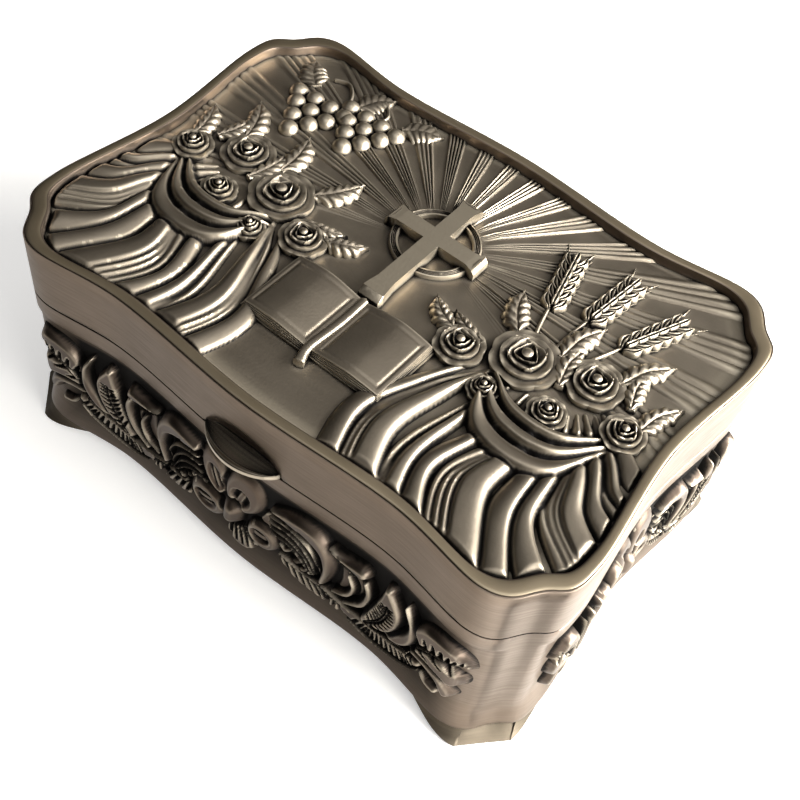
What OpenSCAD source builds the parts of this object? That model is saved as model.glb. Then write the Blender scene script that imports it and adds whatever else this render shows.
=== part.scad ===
// Hinged keepsake box for a rosary, cast in antiqued pewter and lined with velvet.
// Origin: on the table, under the middle of the box. +X runs along the box, the
// hinge is at the back (+Y), the thumb lip at the front (-Y), +Z is up.

/* [Box] */
// Length over the lid's band
box_l = 111.6; // [100:0.1:125]
// Width over the lid's band, between the corner lobes
box_w = 75.8; // [70:0.1:90]
// Height of the parting line above the table
base_h = 35.2; // [32:0.1:45]
// Height of the lid from the parting line to its rim
lid_h = 12.8; // [12.6:0.1:18]
// Gap between the closed lid and the base
lid_gap = 0.2; // [0.1:0.05:0.3]
// Thickness of the cast walls
wall_t = 2.2; // [1.8:0.1:2.6]

/* [Outline] */
// How far the long sides dip between their middle and the corners
side_dip = 1.9; // [0:0.1:3]
// How far the middle of the long sides stays behind the corner lobes
side_crown = 0.46; // [0:0.02:1.5]
// Where the dip lies, as a share of the half length
dip_at = 0.514; // [0.45:0.01:0.6]
// How far the short sides draw in at their middle
end_waist = 2.23; // [0:0.01:3]
// Length of each corner along the long side
corner_l = 10.64; // [9:0.1:13]
// Length of each corner along the short side
corner_w = 14.1; // [12:0.1:17]
// Crest of the lobe on the long side, in from the two outer lines
lobe_a = [6.86, 1.39];
// Bottom of the corner's notch, in from the two outer lines
notch = [3.65, 5.54];
// Crest of the lobe on the short side, in from the two outer lines
lobe_b = [0.8, 8.49];

/* [Base] */
// Height of the wall's hem above the table
hem_z = 3; // [2.5:0.1:5]
// How far the hem stands outside the band
hem_out = 0.7; // [0:0.1:1]
// Height of the hem's moulding
hem_h = 3; // [1:0.1:4]
// How far the cove above the hem stands outside the band
cove_out = 0.2; // [0:0.1:0.4]
// Bottom of the sunk field that carries the garlands
field_z = 9; // [8:0.1:12]
// Depth of the sunk field
field_in = 0.5; // [0.2:0.1:0.9]
// Height of the plain band under the parting line
band_h = 4; // [3:0.1:5]
// Width of the inner ledge that carries the bottom plate
ledge_w = 1.4; // [1:0.1:2]
// Height of that ledge
ledge_h = 1.2; // [0.8:0.1:2]
// Thickness of the sheet bottom plate
plate_t = 1.2; // [0.8:0.1:2]

/* [Feet] */
// How far a foot runs back along the long side from the end of the box
foot_run_l = 17.3; // [15:0.1:22]
// How far a foot runs back along the short side from the long side
foot_run_w = 17; // [15:0.1:22]
// Thickness of the foot's bracket
foot_t = 2.6; // [2:0.1:3]
// Height left at the thin ends of a foot
foot_end_h = 0.5; // [0.3:0.1:1]
// How far the tip at the long side's lobe splays out, along X and Y
splay_a = [1, 3];
// How far the tip at the short side's lobe splays out, along X and Y
splay_b = [1.6, 3];

/* [Garlands] */
// How far the leaves stand out of the field
leaf_relief = 1.3; // [0.8:0.1:1.6]
// How far the crowns of leaves and petals stand out of the field
crown_relief = 2.2; // [1.8:0.1:2.6]
// Half length of the long garlands
long_garland = 47; // [40:0.5:48]
// Half length of the short garlands
short_garland = 28; // [24:0.5:30]
// Height of the garlands above their own lower edge
garland_h = 20.5; // [16:0.5:21]

/* [Lid] */
// Width of the flat rim round the plaque
rim_w = 2.2; // [1.8:0.1:3]
// Height of the rim's bead
bead_h = 1.2; // [0.6:0.1:2]
// How far the bead sits in from the band
bead_in = 0.25; // [0.1:0.05:0.6]
// Depth of the plaque's ground below the rim
plaque_set = 1.8; // [1:0.1:2.5]
// Thickness of the plaque's ground
plaque_t = 1.6; // [1:0.1:2]
// Width of the ledge under the plaque
plaque_ledge = 1.8; // [1:0.1:3]
// Clearance round the plaque and round the inner plates
fit = 0.1; // [0.05:0.05:0.2]

/* [Thumb lip] */
// Half width of the lip where it meets the band
lip_half = 7.8; // [6:0.1:10]
// Thickness of the lip's edge
lip_edge = 1; // [0.6:0.1:1.5]
// Height of the scoop where it dies into the band
lip_rise = 4.4; // [3:0.1:6]

/* [Relief] */
// Centre of the rays and of the cross, along Y
glory_y = 10; // [5:0.5:14]
// Number of ray bundles all round
rays = 28; // [20:1:36]
// Height of the rays
ray_relief = 0.4; // [0.2:0.1:0.8]
// Radius of the ring round the cross
ring_r = 8; // [6:0.1:10]
// Width of the ring
ring_w = 1.6; // [1:0.1:2.5]
// Height of the ring
ring_relief = 1; // [0.6:0.1:1.4]
// Length of the cross's upright
cross_l = 29; // [24:0.5:34]
// Length of the cross's arms, tip to tip
cross_w = 19; // [14:0.5:22]
// Width of the cross's bars
cross_bar = 3.2; // [2:0.1:4]
// Height of the cross
cross_relief = 2.2; // [1.6:0.1:2.6]
// Width of the open book
book_w = 29; // [20:0.5:34]
// Height of the open book, along Y
book_l = 15; // [10:0.5:18]
// Height of the book's pages
book_relief = 2.4; // [1.6:0.1:2.8]
// Number of folds in each fall of cloth
folds = 7; // [4:1:9]
// Height of the cloth
cloth_relief = 1.4; // [0.8:0.1:2]
// Height of the folds' crests
fold_relief = 2.5; // [2:0.1:2.9]
// Height of the leaves and ears
sprig_relief = 1.6; // [1:0.1:2.2]
// Height of the roses and grapes
rose_relief = 3; // [2:0.1:3.2]

/* [Lining] */
// Thickness of the card boards
board_t = 1.4; // [1:0.1:2]
// Thickness of the velvet pad on the floor
floor_pad_t = 2.5; // [1.5:0.1:4]
// Thickness of the velvet pad in the lid
lid_pad_t = 2.2; // [1.5:0.1:2.4]
// Thickness of the velvet strip round the walls
wall_pad_t = 1.2; // [0.8:0.1:2]
// How far that strip stays below the parting line
wall_pad_drop = 1; // [0.5:0.1:3]
// Clearance round a soft piece
soft_gap = 0.3; // [0.2:0.05:0.5]

/* [Hinge] */
// Length of the hinge
hinge_l = 24; // [18:0.5:34]
// Height of each hinge leaf
leaf_h = 6.4; // [5.5:0.1:7]
// Thickness of the hinge leaves
leaf_t = 0.8; // [0.6:0.05:1]
// Outer radius of the knuckles
knuckle_r = 1.6; // [1.4:0.05:2]
// Radius of the hinge pin
pin_r = 0.7; // [0.5:0.05:0.8]
// Running clearance round the pin
pin_fit = 0.05; // [0.02:0.01:0.1]
// Radius of the pin's peened heads
pin_head_r = 1.1; // [0.9:0.05:1.3]
// Thickness of those heads
pin_head_t = 0.5; // [0.3:0.1:0.8]
// Length of the lid's knuckle
lid_knuckle_l = 8; // [6:0.5:12]
// Gap between neighbouring knuckles
knuckle_gap = 0.3; // [0.2:0.05:0.5]
// How far the knuckles stay clear of the walls
knuckle_clear = 0.15; // [0.1:0.05:0.3]
// How far the flat pads behind the leaves stand out of the walls
pad_out = 0.3; // [0.1:0.05:0.6]
// Distance between the two rivets of a leaf
rivet_span = 16; // [12:0.5:18]
// Radius of the rivets' shanks
rivet_r = 0.6; // [0.4:0.05:0.8]
// Radius of the rivets' heads
rivet_head_r = 1.1; // [0.9:0.05:1.4]
// Height of the rivets' heads
rivet_head_t = 0.45; // [0.3:0.05:0.7]

/* [Hidden] */
pewter = "#8f8878";
pewter_dark = "#6f695d";
steel = "#b4b2ac";
velvet = "#5c1420";
card = "#a08c68";
// Points on each span between two knots of the outline
span_steps = 4;
// Number of sides that draw a round shape as a true circle
round_fn = 48;
// Room given to cutting shapes so that they pass right through
over = 1;

// Heights
lid_z = base_h + lid_gap;
rim_z = lid_z + lid_h;
bead_z = rim_z - bead_h;
ground_z = rim_z - plaque_set;
seat_z = ground_z - plaque_t;
board_z = seat_z - ledge_h - board_t;
lid_pad_z = board_z - lid_pad_t - fit;
bottom_z = hem_z + ledge_h;
floor_z = bottom_z + plate_t;
lining_z = floor_z + board_t + fit;
band_z = base_h - band_h;
// Hinge places
side_y = box_w / 2 - side_crown;
pad_y = side_y + pad_out;
axis_y = pad_y + knuckle_clear + knuckle_r;
axis_z = base_h + lid_gap / 2;
leaf_clear = knuckle_r + lid_gap;
// The lip stands as far forward as the hinge stands back
lip_y = axis_y + knuckle_r;
lip_out = lip_y - side_y;
lip_r = (lip_half * lip_half + lip_out * lip_out) / (2 * lip_out);

// ---- Plan outline: a smooth closed curve through eight knots a quarter ----

function knots(inset) = let (a = box_l / 2 - inset, b = box_w / 2 - inset) [
    [0, b - side_crown], [a * dip_at, b - side_dip], [a - corner_l, b],
    [a, b] - lobe_a, [a, b] - notch, [a, b] - lobe_b, [a, b - corner_w], [a - end_waist, 0]
];
function slope(p, q, r) = let (d = sqrt(norm(q - p)), e = sqrt(norm(r - q)))
    (q - p) / d - (r - p) / (d + e) + (r - q) / e;
function span(p, q, r, s, t) = let (d = sqrt(norm(r - q)))
    (2 * t * t * t - 3 * t * t + 1) * q + (t * t * t - 2 * t * t + t) * d * slope(p, q, r)
    + (3 * t * t - 2 * t * t * t) * r + (t * t * t - t * t) * d * slope(q, r, s);
function flip_x(p) = [-p.x, p.y];
function flip_y(p) = [p.x, -p.y];
function reversed(list) = [for (i = [len(list) - 1 : -1 : 0]) list[i]];
function without_ends(list) = [for (i = [1 : len(list) - 2]) list[i]];
// One quarter, from the middle of the back to the middle of the right end
function quarter(inset) = let (k = knots(inset), n = len(k)) [
    for (i = [0 : n - 2], j = [0 : span_steps - 1])
        span(i == 0 ? flip_x(k[1]) : k[i - 1], k[i], k[i + 1],
             i == n - 2 ? flip_y(k[n - 2]) : k[i + 2], j / span_steps),
    k[n - 1]
];
// The whole outline, drawn in by inset at every side
function outline(inset) = let (q = quarter(inset), back = without_ends(reversed(q))) concat(
    q, [for (p = back) flip_y(p)], [[0, -q[0].y]],
    [for (p = without_ends(q)) -p], [flip_x(q[len(q) - 1])], [for (p = back) flip_x(p)]
);

module slab(inset, z, h) {
    translate([0, 0, z]) linear_extrude(h) polygon(outline(inset));
}
module ring(outer, inner, z, h) {
    translate([0, 0, z]) linear_extrude(h) difference() {
        polygon(outline(outer));
        polygon(outline(inner));
    }
}

// ---- Base ----

// Flat pad behind a hinge leaf, standing on the back of a wall
module hinge_pad(z, h) {
    translate([-hinge_l / 2, side_y - wall_t / 2, z])
        cube([hinge_l, wall_t / 2 + pad_out, h]);
}
// Bores for the two rivets of a leaf, through leaf, pad and wall
module rivet_bores(z) {
    for (side = [-1, 1])
        translate([side * rivet_span / 2, axis_y + over, z]) rotate([90, 0, 0])
            cylinder(r = rivet_r + pin_fit, h = wall_t + 4 * over, $fn = round_fn);
}
base_rivet_z = axis_z - (leaf_clear + leaf_h) / 2;
lid_rivet_z = axis_z + (leaf_clear + leaf_h) / 2;

module base_wall() color(pewter) {
    difference() {
        union() {
            slab(-hem_out, hem_z, hem_h);
            slab(-cove_out, hem_z + hem_h, field_z - hem_z - hem_h);
            slab(field_in, field_z, band_z - field_z);
            slab(0, band_z, band_h);
            hinge_pad(base_h - leaf_h, leaf_h);
        }
        slab(wall_t, bottom_z, base_h);
        slab(wall_t + ledge_w, hem_z - over, base_h);
        rivet_bores(base_rivet_z);
    }
}

// Foot: a bracket that hangs under the hem round one corner and splays to two tips.
// Its sections follow the back right corner of the outline.
function in_foot(p) = p.x > box_l / 2 - foot_run_l && p.y > box_w / 2 - foot_run_w;
function ramp(v, from, to) = min(1, max(0, (v - from) / (to - from)));
function foot_weight(p, a, b) = min(
    ramp(p.x, box_l / 2 - foot_run_l, a.x), ramp(p.y, box_w / 2 - foot_run_w, b.y));
function tip_line(p, a, b) = let (t = ramp(p.x, a.x, b.x))
    (1 - t) * (a + splay_a) + t * (b + splay_b);
function foot_bottom(p, a, b) = let (w = foot_weight(p, a, b))
    p.x < a.x ? p + w * splay_a : p.y < b.y ? p + w * splay_b : tip_line(p, a, b);
module foot_bracket() {
    a = [box_l / 2, box_w / 2] - lobe_a;
    b = [box_l / 2, box_w / 2] - lobe_b;
    outer = quarter(0);
    inner = quarter(foot_t);
    picked = [for (i = [0 : len(outer) - 1]) if (in_foot(outer[i])) i];
    sections = [for (i = picked) let (
            o = outer[i], n = inner[i], w = foot_weight(o, a, b),
            low = (hem_z - foot_end_h) * (1 - w), tip = foot_bottom(o, a, b)
        ) each [[o.x, o.y, hem_z], [n.x, n.y, hem_z], [n.x, n.y, low], [tip.x, tip.y, low]]];
    last = len(picked) - 1;
    sides = [for (i = [0 : last - 1], j = [0 : 3]) let (k = (j + 1) % 4)
        [4 * i + j, 4 * i + k, 4 * i + 4 + k, 4 * i + 4 + j]];
    polyhedron(sections, concat(sides, [[3, 2, 1, 0], [for (j = [0 : 3]) 4 * last + j]]));
}
module foot_back_right() color(pewter) foot_bracket();
module foot_back_left() color(pewter) mirror([1, 0, 0]) foot_bracket();
module foot_front_right() color(pewter) mirror([0, 1, 0]) foot_bracket();
module foot_front_left() color(pewter) rotate([0, 0, 180]) foot_bracket();

module bottom_plate() color(pewter_dark) slab(wall_t + fit, bottom_z, plate_t);

// ---- Garlands ----

// A pointed leaf in the drawing plane, from the origin along +X
leaf_steps = 6;
function leaf_edge(l, w) = [for (i = [0 : leaf_steps]) [l * i / leaf_steps, w / 2 * sin(180 * i / leaf_steps)]];
function leaf_points(l, w) = concat(leaf_edge(l, w), [for (p = without_ends(reversed(leaf_edge(l, w)))) flip_y(p)]);
module leaf(x, z, turn, l, w, deep) {
    translate([x, z]) rotate(turn) linear_extrude(deep) polygon(leaf_points(l, w));
}
// Half of a garland, drawn flat: along X from the flower, up Y from its lower edge.
// crown selects the narrower shapes that stand higher.
module garland_half(half, deep, crown) {
    h = garland_h;
    s = crown ? 0.62 : 1;
    u = half / 4.7;
    // Upper and side petals of the flower
    leaf(0.2 * u, h * 0.4, 62, 0.52 * h, 0.36 * h * s, deep);
    leaf(0.2 * u, h * 0.38, -4, 0.46 * h, 0.3 * h * s, deep);
    // Curled acanthus leaves, largest by the flower
    leaf(0.6 * u, h * 0.78, -28, 1.7 * u, 0.42 * h * s, deep);
    leaf(1.9 * u, h * 0.94, -62, 0.74 * h, 0.24 * h * s, deep);
    leaf(2.3 * u, h * 0.9, -68, 0.7 * h, 0.2 * h * s, deep);
    leaf(3.05 * u, h * 0.96, -72, 0.74 * h, 0.3 * h * s, deep);
    // Pointed end leaves
    leaf(3.4 * u, h * 0.62, 22, 1.35 * u, 0.3 * h * s, deep);
    leaf(3.4 * u, h * 0.56, -4, 1.2 * u, 0.28 * h * s, deep);
    // Long lower leaves that hang under the stem
    leaf(0.7 * u, h * 0.3, -12, 1.7 * u, 0.26 * h * s, deep);
    leaf(1.9 * u, h * 0.17, 4, 1.9 * u, 0.28 * h * s, deep);
    leaf(3.3 * u, h * 0.3, 20, 1.35 * u, 0.26 * h * s, deep);
}
module garland_shape(half, crown) {
    deep = box_l;
    for (side = [0, 1]) mirror([side, 0, 0]) garland_half(half, deep, crown);
    // Heart, lowest petal and the stem that joins the leaves
    translate([0, garland_h * 0.38]) cylinder(r = garland_h * (crown ? 0.1 : 0.2), h = deep, $fn = round_fn);
    leaf(0, garland_h * 0.3, -90, garland_h * 0.3, garland_h * (crown ? 0.2 : 0.3), deep);
    if (!crown) translate([-half * 0.82, garland_h * 0.38, 0]) cube([half * 1.64, garland_h * 0.22, deep]);
}
// The drawing laid on the front wall and cut to its curve
module garland(half, turn) {
    for (level = [[leaf_relief, false], [crown_relief, true]])
        intersection() {
            ring(field_in - level[0], field_in, field_z, band_z - field_z);
            rotate([0, 0, turn]) translate([0, 0, field_z + 0.5]) rotate([90, 0, 0])
                garland_shape(half, level[1]);
        }
}
module garland_front() color(pewter) garland(long_garland, 0);
module garland_back() color(pewter) garland(long_garland, 180);
module garland_left() color(pewter) garland(short_garland, -90);
module garland_right() color(pewter) garland(short_garland, 90);

// ---- Lining ----

module floor_board() color(card) slab(wall_t + fit, floor_z, board_t);
module floor_velvet() color(velvet)
    slab(wall_t + wall_pad_t + 2 * soft_gap, lining_z, floor_pad_t);
module wall_velvet() color(velvet)
    ring(wall_t + soft_gap, wall_t + soft_gap + wall_pad_t, lining_z, base_h - wall_pad_drop - lining_z);
module lid_board() color(card) slab(wall_t + fit, board_z, board_t);
module lid_velvet() color(velvet) slab(wall_t + soft_gap, lid_pad_z, lid_pad_t);

// ---- Lid ----

module lid_frame() color(pewter) {
    difference() {
        union() {
            slab(0, lid_z, lid_h - bead_h);
            slab(bead_in, bead_z, bead_h);
            hinge_pad(lid_z, leaf_h);
        }
        slab(rim_w, seat_z, lid_h);
        slab(rim_w + plaque_ledge, lid_z - over, lid_h);
        slab(wall_t, lid_z - over, seat_z - ledge_h - lid_z + over);
        rivet_bores(lid_rivet_z);
    }
}

// Scooped crescent soldered to the front of the band, at the lid's lower edge
module thumb_lip() color(pewter) {
    scoop = [for (i = [0 : leaf_steps]) let (t = 90 * i / leaf_steps)
        [lip_r - lip_out * sin(t), lip_edge + (lip_rise - lip_edge) * (1 - cos(t))]];
    intersection() {
        translate([0, lip_r - lip_y, lid_z]) rotate_extrude($fn = round_fn * 2)
            polygon(concat([[0, 0], [lip_r, 0]], scoop, [[0, lip_rise]]));
        translate([-lip_r, -lip_y - over, lid_z - over])
            cube([2 * lip_r, lip_out + over, lip_rise + 2 * over]);
    }
}

// ---- Plaque: rays, cross in a ring, open book, cloth, roses, grapes and wheat ----

module raised(h) {
    translate([0, 0, ground_z - fit]) linear_extrude(h + fit) children();
}
module bar(w, l, y) {
    translate([-w / 2, y]) square([w, l]);
}
module ray_bundles() {
    reach = box_l;
    half = 360 / rays / 4;
    root = ring_r - ring_w / 2;
    raised(ray_relief) intersection() {
        polygon(outline(rim_w + fit));
        for (i = [0 : rays - 1]) translate([0, glory_y]) rotate(360 * (i + 0.5) / rays)
            polygon([[root, -root * tan(half)], [reach, -reach * tan(half)],
                [reach, reach * tan(half)], [root, root * tan(half)]]);
    }
}
module cross_in_ring() {
    raised(ring_relief) translate([0, glory_y]) difference() {
        circle(r = ring_r, $fn = round_fn);
        circle(r = ring_r - ring_w, $fn = round_fn);
    }
    raised(cross_relief) {
        bar(cross_bar, cross_l, glory_y - cross_l * 0.62);
        bar(cross_w, cross_bar, glory_y - cross_bar / 2);
    }
}
book_y = glory_y - cross_l * 0.62 - book_l;
module open_book() {
    for (side = [0, 1]) mirror([side, 0, 0])
        translate([0, book_y + book_l, ground_z - fit]) rotate([90, 0, 0]) linear_extrude(book_l)
            polygon([[0, 0], [book_w / 2, 0], [book_w / 2, book_relief * 0.55],
                [book_w * 0.3, book_relief], [book_w * 0.12, book_relief], [0, book_relief * 0.6]]);
}
// Cloth on one side: it hangs from the roses and spreads to the lower corner
gather = [27, -3];
function fold_foot(i) = let (t = i / (folds - 1))
    [9 + 42 * min(1, 1.25 * t), -box_w / 2 + rim_w + 1.6 + 24 * max(0, t - 0.72) / 0.28];
module cloth() {
    raised(cloth_relief) intersection() {
        polygon(outline(rim_w + fit));
        polygon(concat([[gather.x - 9, gather.y - 5], gather, [gather.x + 14, gather.y + 6]],
            [for (i = [folds - 1 : -1 : 0]) fold_foot(i)]));
    }
    raised(fold_relief) intersection() {
        polygon(outline(rim_w + fit + 0.4));
        for (i = [0 : folds - 1]) let (d = fold_foot(i) - gather)
            translate(gather) rotate(atan2(d.y, d.x)) polygon(leaf_points(norm(d) * 1.06, 4.2));
    }
}
module rose(x, y, r) {
    translate([x, y, ground_z - fit]) {
        cylinder(r = r, h = rose_relief * 0.6, $fn = round_fn);
        cylinder(r = r * 0.62, h = rose_relief, $fn = round_fn);
    }
}
module sprig(x, y, turn, l, w) {
    translate([x, y]) rotate(turn) polygon(leaf_points(l, w));
}
// Roses and leaves above the cloth, the same on both sides
module rose_bank() {
    rose(26, 0, 6);
    rose(37, 3.5, 5);
    rose(16.5, -5, 4.4);
    rose(45.5, -1.5, 3.8);
    raised(sprig_relief) {
        sprig(30, 4, 78, 11, 5);
        sprig(22, 3.5, 118, 10, 5);
        sprig(40, 6, 62, 11, 5);
        sprig(47, 0, 70, 10, 4.4);
        sprig(14, -3, 148, 8, 4);
    }
}
grape_r = 1.9;
grape_rows = 4;
module grapes(x, y) {
    for (row = [0 : grape_rows - 1], i = [0 : row])
        translate([x + (i - row / 2) * grape_r * 1.9, y + row * grape_r * 1.6, ground_z])
            sphere(r = grape_r, $fn = round_fn);
}
module wheat_ear(x, y, turn) {
    raised(sprig_relief) {
        sprig(x, y, turn, 16, 4);
        translate([x, y]) rotate(turn) translate([-8, -0.4]) square([10, 0.8]);
    }
}
module lid_plaque() color(pewter) {
    slab(rim_w + fit, seat_z, plaque_t);
    ray_bundles();
    cross_in_ring();
    open_book();
    for (side = [0, 1]) mirror([side, 0, 0]) {
        cloth();
        rose_bank();
    }
    grapes(-37, 14);
    grapes(-27, 17);
    wheat_ear(29, 13, 84);
    wheat_ear(36, 12, 68);
    wheat_ear(23, 11, 104);
}

// ---- Hinge ----

module knuckle(x, l) {
    translate([x, axis_y, axis_z]) rotate([0, 90, 0]) cylinder(r = knuckle_r, h = l, $fn = round_fn);
}
module knuckle_web(x, l, up) {
    translate([x, pad_y, up ? axis_z : axis_z - leaf_clear]) cube([l, leaf_t, leaf_clear]);
}
module pin_bore() {
    translate([-hinge_l, axis_y, axis_z]) rotate([0, 90, 0])
        cylinder(r = pin_r + pin_fit, h = 2 * hinge_l, $fn = round_fn);
}
module hinge_base_leaf() color(pewter) {
    side_l = (hinge_l - lid_knuckle_l) / 2 - knuckle_gap;
    difference() {
        union() {
            translate([-hinge_l / 2, pad_y, axis_z - leaf_h]) cube([hinge_l, leaf_t, leaf_h - leaf_clear]);
            for (x = [-hinge_l / 2, hinge_l / 2 - side_l]) {
                knuckle(x, side_l);
                knuckle_web(x, side_l, false);
            }
        }
        pin_bore();
        rivet_bores(base_rivet_z);
    }
}
module hinge_lid_leaf() color(pewter) {
    difference() {
        union() {
            translate([-hinge_l / 2, pad_y, axis_z + leaf_clear]) cube([hinge_l, leaf_t, leaf_h - leaf_clear]);
            knuckle(-lid_knuckle_l / 2, lid_knuckle_l);
            knuckle_web(-lid_knuckle_l / 2, lid_knuckle_l, true);
        }
        pin_bore();
        rivet_bores(lid_rivet_z);
    }
}
module hinge_pin() color(steel) {
    translate([-hinge_l / 2 - pin_fit, axis_y, axis_z]) rotate([0, 90, 0])
        cylinder(r = pin_r, h = hinge_l + 2 * pin_fit, $fn = round_fn);
    for (side = [0, 1]) mirror([side, 0, 0])
        translate([hinge_l / 2 + pin_fit, axis_y, axis_z]) rotate([0, 90, 0])
            cylinder(r = pin_head_r, h = pin_head_t, $fn = round_fn);
}
module rivets(z) {
    for (side = [-1, 1]) translate([side * rivet_span / 2, pad_y + leaf_t + fit / 2, z]) {
        rotate([90, 0, 0]) cylinder(r = rivet_r, h = leaf_t + pad_out + wall_t, $fn = round_fn);
        rotate([-90, 0, 0]) cylinder(r = rivet_head_r, h = rivet_head_t, $fn = round_fn);
    }
}
module hinge_base_rivets() color(steel) rivets(base_rivet_z);
module hinge_lid_rivets() color(steel) rivets(lid_rivet_z);

base_wall();
foot_front_left();
foot_front_right();
foot_back_left();
foot_back_right();
bottom_plate();
garland_front();
garland_back();
garland_left();
garland_right();
floor_board();
floor_velvet();
wall_velvet();
hinge_base_leaf();
hinge_base_rivets();
hinge_pin();
lid_frame();
lid_plaque();
thumb_lip();
lid_board();
lid_velvet();
hinge_lid_leaf();
hinge_lid_rivets();
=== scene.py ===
# %% [markdown]
# # A pewter rosary box, dressed around its frame
#
# The real box is a handful of zinc alloy castings soldered together, blackened all over and
# then polished, so that the dark stays in the hollows. The frame gives the true size and
# place of every piece. Here each visible casting is modelled again with all its carving,
# and every material is made from nodes.

# %% Load the frame
import math
import random
from bisect import bisect_right

import bmesh
import bpy
from mathutils import Matrix, Vector
from mathutils.kdtree import KDTree


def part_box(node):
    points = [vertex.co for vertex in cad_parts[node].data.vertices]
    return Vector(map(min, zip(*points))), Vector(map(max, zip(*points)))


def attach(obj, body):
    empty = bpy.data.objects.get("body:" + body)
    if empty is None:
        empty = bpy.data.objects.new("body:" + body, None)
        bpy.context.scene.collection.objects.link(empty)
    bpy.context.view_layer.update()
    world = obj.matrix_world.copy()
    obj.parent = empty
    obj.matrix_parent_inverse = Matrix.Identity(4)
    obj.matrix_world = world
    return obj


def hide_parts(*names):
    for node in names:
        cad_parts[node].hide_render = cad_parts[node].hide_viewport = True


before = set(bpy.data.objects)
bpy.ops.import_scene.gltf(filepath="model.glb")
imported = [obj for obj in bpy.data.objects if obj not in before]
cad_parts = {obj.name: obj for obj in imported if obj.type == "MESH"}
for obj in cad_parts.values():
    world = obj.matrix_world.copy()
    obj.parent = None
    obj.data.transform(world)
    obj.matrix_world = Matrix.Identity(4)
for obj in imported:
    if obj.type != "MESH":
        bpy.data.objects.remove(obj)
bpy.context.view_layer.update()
random.seed(7)

# %% [markdown]
# ## Sizes
#
# The frame is in metres, and a jeweller works in millimetres. All sizes below are in
# millimetres, and one factor turns them into metres when a piece is finished. The main
# heights are read from the frame, so the castings stay where the frame has them.

# %% Sizes from the frame
MM = 0.001


def low(node):
    """Lowest corner of a node's box, in millimetres."""
    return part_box(node)[0] / MM


def high(node):
    """Highest corner of a node's box, in millimetres."""
    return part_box(node)[1] / MM


HALF_L = high("lid_frame").x
HALF_W = -low("lid_frame").y
HEM_Z = low("base_wall").z
PARTING_Z = high("base_wall").z
LID_Z = low("lid_frame").z
RIM_Z = high("lid_frame").z
SEAT_Z = low("lid_plaque").z
PLAQUE_T = 1.6
GROUND_Z = SEAT_Z + PLAQUE_T
WALL_T = 2.2
RIM_W = 2.2
FIELD_IN = 0.5
FIELD_Z = 9
BAND_Z = PARTING_Z - 4
print("half length", round(HALF_L, 2), "half width", round(HALF_W, 2), "rim at", round(RIM_Z, 2))

# %% [markdown]
# ## The plan outline
#
# Seen from above the box has long sides that swell and dip, short sides that draw in, and
# corners with two lobes and a notch. Eight knots describe a quarter of it. A Catmull-Rom
# curve runs through them, because it passes exactly through its knots and needs no handles.

# %% The outline as a function of its inset
FRONT_SWELL = 0.46
DIP_SHARE = 0.514
DIP_DEEP = 1.9
LONG_SHOULDER = 10.64
LOBE_A = Vector((6.86, 1.39))
NOTCH = (3.65, 5.54)
LOBE_B = Vector((0.8, 8.49))
SHORT_SHOULDER = 14.1
SHORT_DIP = 2.23
SIDE_STEPS = 24


def knots(inset):
    """Eight knots of the quarter with positive x and y, from the middle of the long side."""
    a = HALF_L - inset
    b = HALF_W - inset
    return [Vector(p) for p in (
        (0, b - FRONT_SWELL), (a * DIP_SHARE, b - DIP_DEEP), (a - LONG_SHOULDER, b),
        (a - LOBE_A.x, b - LOBE_A.y), (a - NOTCH[0], b - NOTCH[1]),
        (a - LOBE_B.x, b - LOBE_B.y), (a, b - SHORT_SHOULDER), (a - SHORT_DIP, 0))]


def slope(p, q, r):
    """Way of the curve at its knot q, between the knots p and r."""
    d = math.sqrt((q - p).length)
    e = math.sqrt((r - q).length)
    return (q - p) / d - (r - p) / (d + e) + (r - q) / e


def span(p, q, r, s, t):
    """Point at t (0 to 1) between the knots q and r."""
    d = math.sqrt((r - q).length)
    return ((2 * t ** 3 - 3 * t ** 2 + 1) * q + (t ** 3 - 2 * t ** 2 + t) * d * slope(p, q, r)
            + (3 * t ** 2 - 2 * t ** 3) * r + (t ** 3 - t ** 2) * d * slope(q, r, s))


def quarter(inset, steps):
    """Points of a quarter of the outline, with steps between two knots."""
    k = knots(inset)
    k = [Vector((-k[1].x, k[1].y))] + k + [Vector((k[-2].x, -k[-2].y))]
    points = [span(*k[i:i + 4], j / steps) for i in range(len(k) - 3) for j in range(steps)]
    return points + [k[-2]]


def outline(inset, steps=SIDE_STEPS):
    """Points of the whole outline, clockwise from the middle of the back."""
    q = quarter(inset, steps)
    back = q[-2:0:-1]
    return (q + [Vector((p.x, -p.y)) for p in back] + [Vector((0, -q[0].y))]
            + [-p for p in q[1:-1]] + [Vector((-q[-1].x, 0))] + [Vector((-p.x, p.y)) for p in back])


def reach(centre, angle, rim):
    """Distance from centre to the closed line rim, in one direction."""
    ray = Vector((math.cos(angle), math.sin(angle)))
    best = 0.0
    for i, p in enumerate(rim):
        a = rim[i - 1] - centre
        b = p - centre
        ca = ray.x * a.y - ray.y * a.x
        cb = ray.x * b.y - ray.y * b.x
        if ca * cb <= 0 and ca != cb:
            best = max(best, ray.dot(a.lerp(b, ca / (ca - cb))))
    return best


print("points round the box:", len(outline(0)))

# %% [markdown]
# ## Camera, floor and light
#
# The camera's place, turn and lens come from matching the lid's outline in perspective: a
# normal lens about 20 cm away, looking steeply down over the front right corner. The floor
# is plain and pale to the eye, but the metal mirrors a painted reflection in it: a grey table
# in front, pale to the right, with a painted shadow that runs out from the front right corner.
# For the metal the floor also glows with painted light, except far to the right. One large
# soft light from the right and behind brightens the right side and leaves the front wall in
# half shade.

# %% Camera
def put(name, data):
    """A new object for data, linked to the scene."""
    thing = bpy.data.objects.new(name, data)
    bpy.context.scene.collection.objects.link(thing)
    return thing


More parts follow.
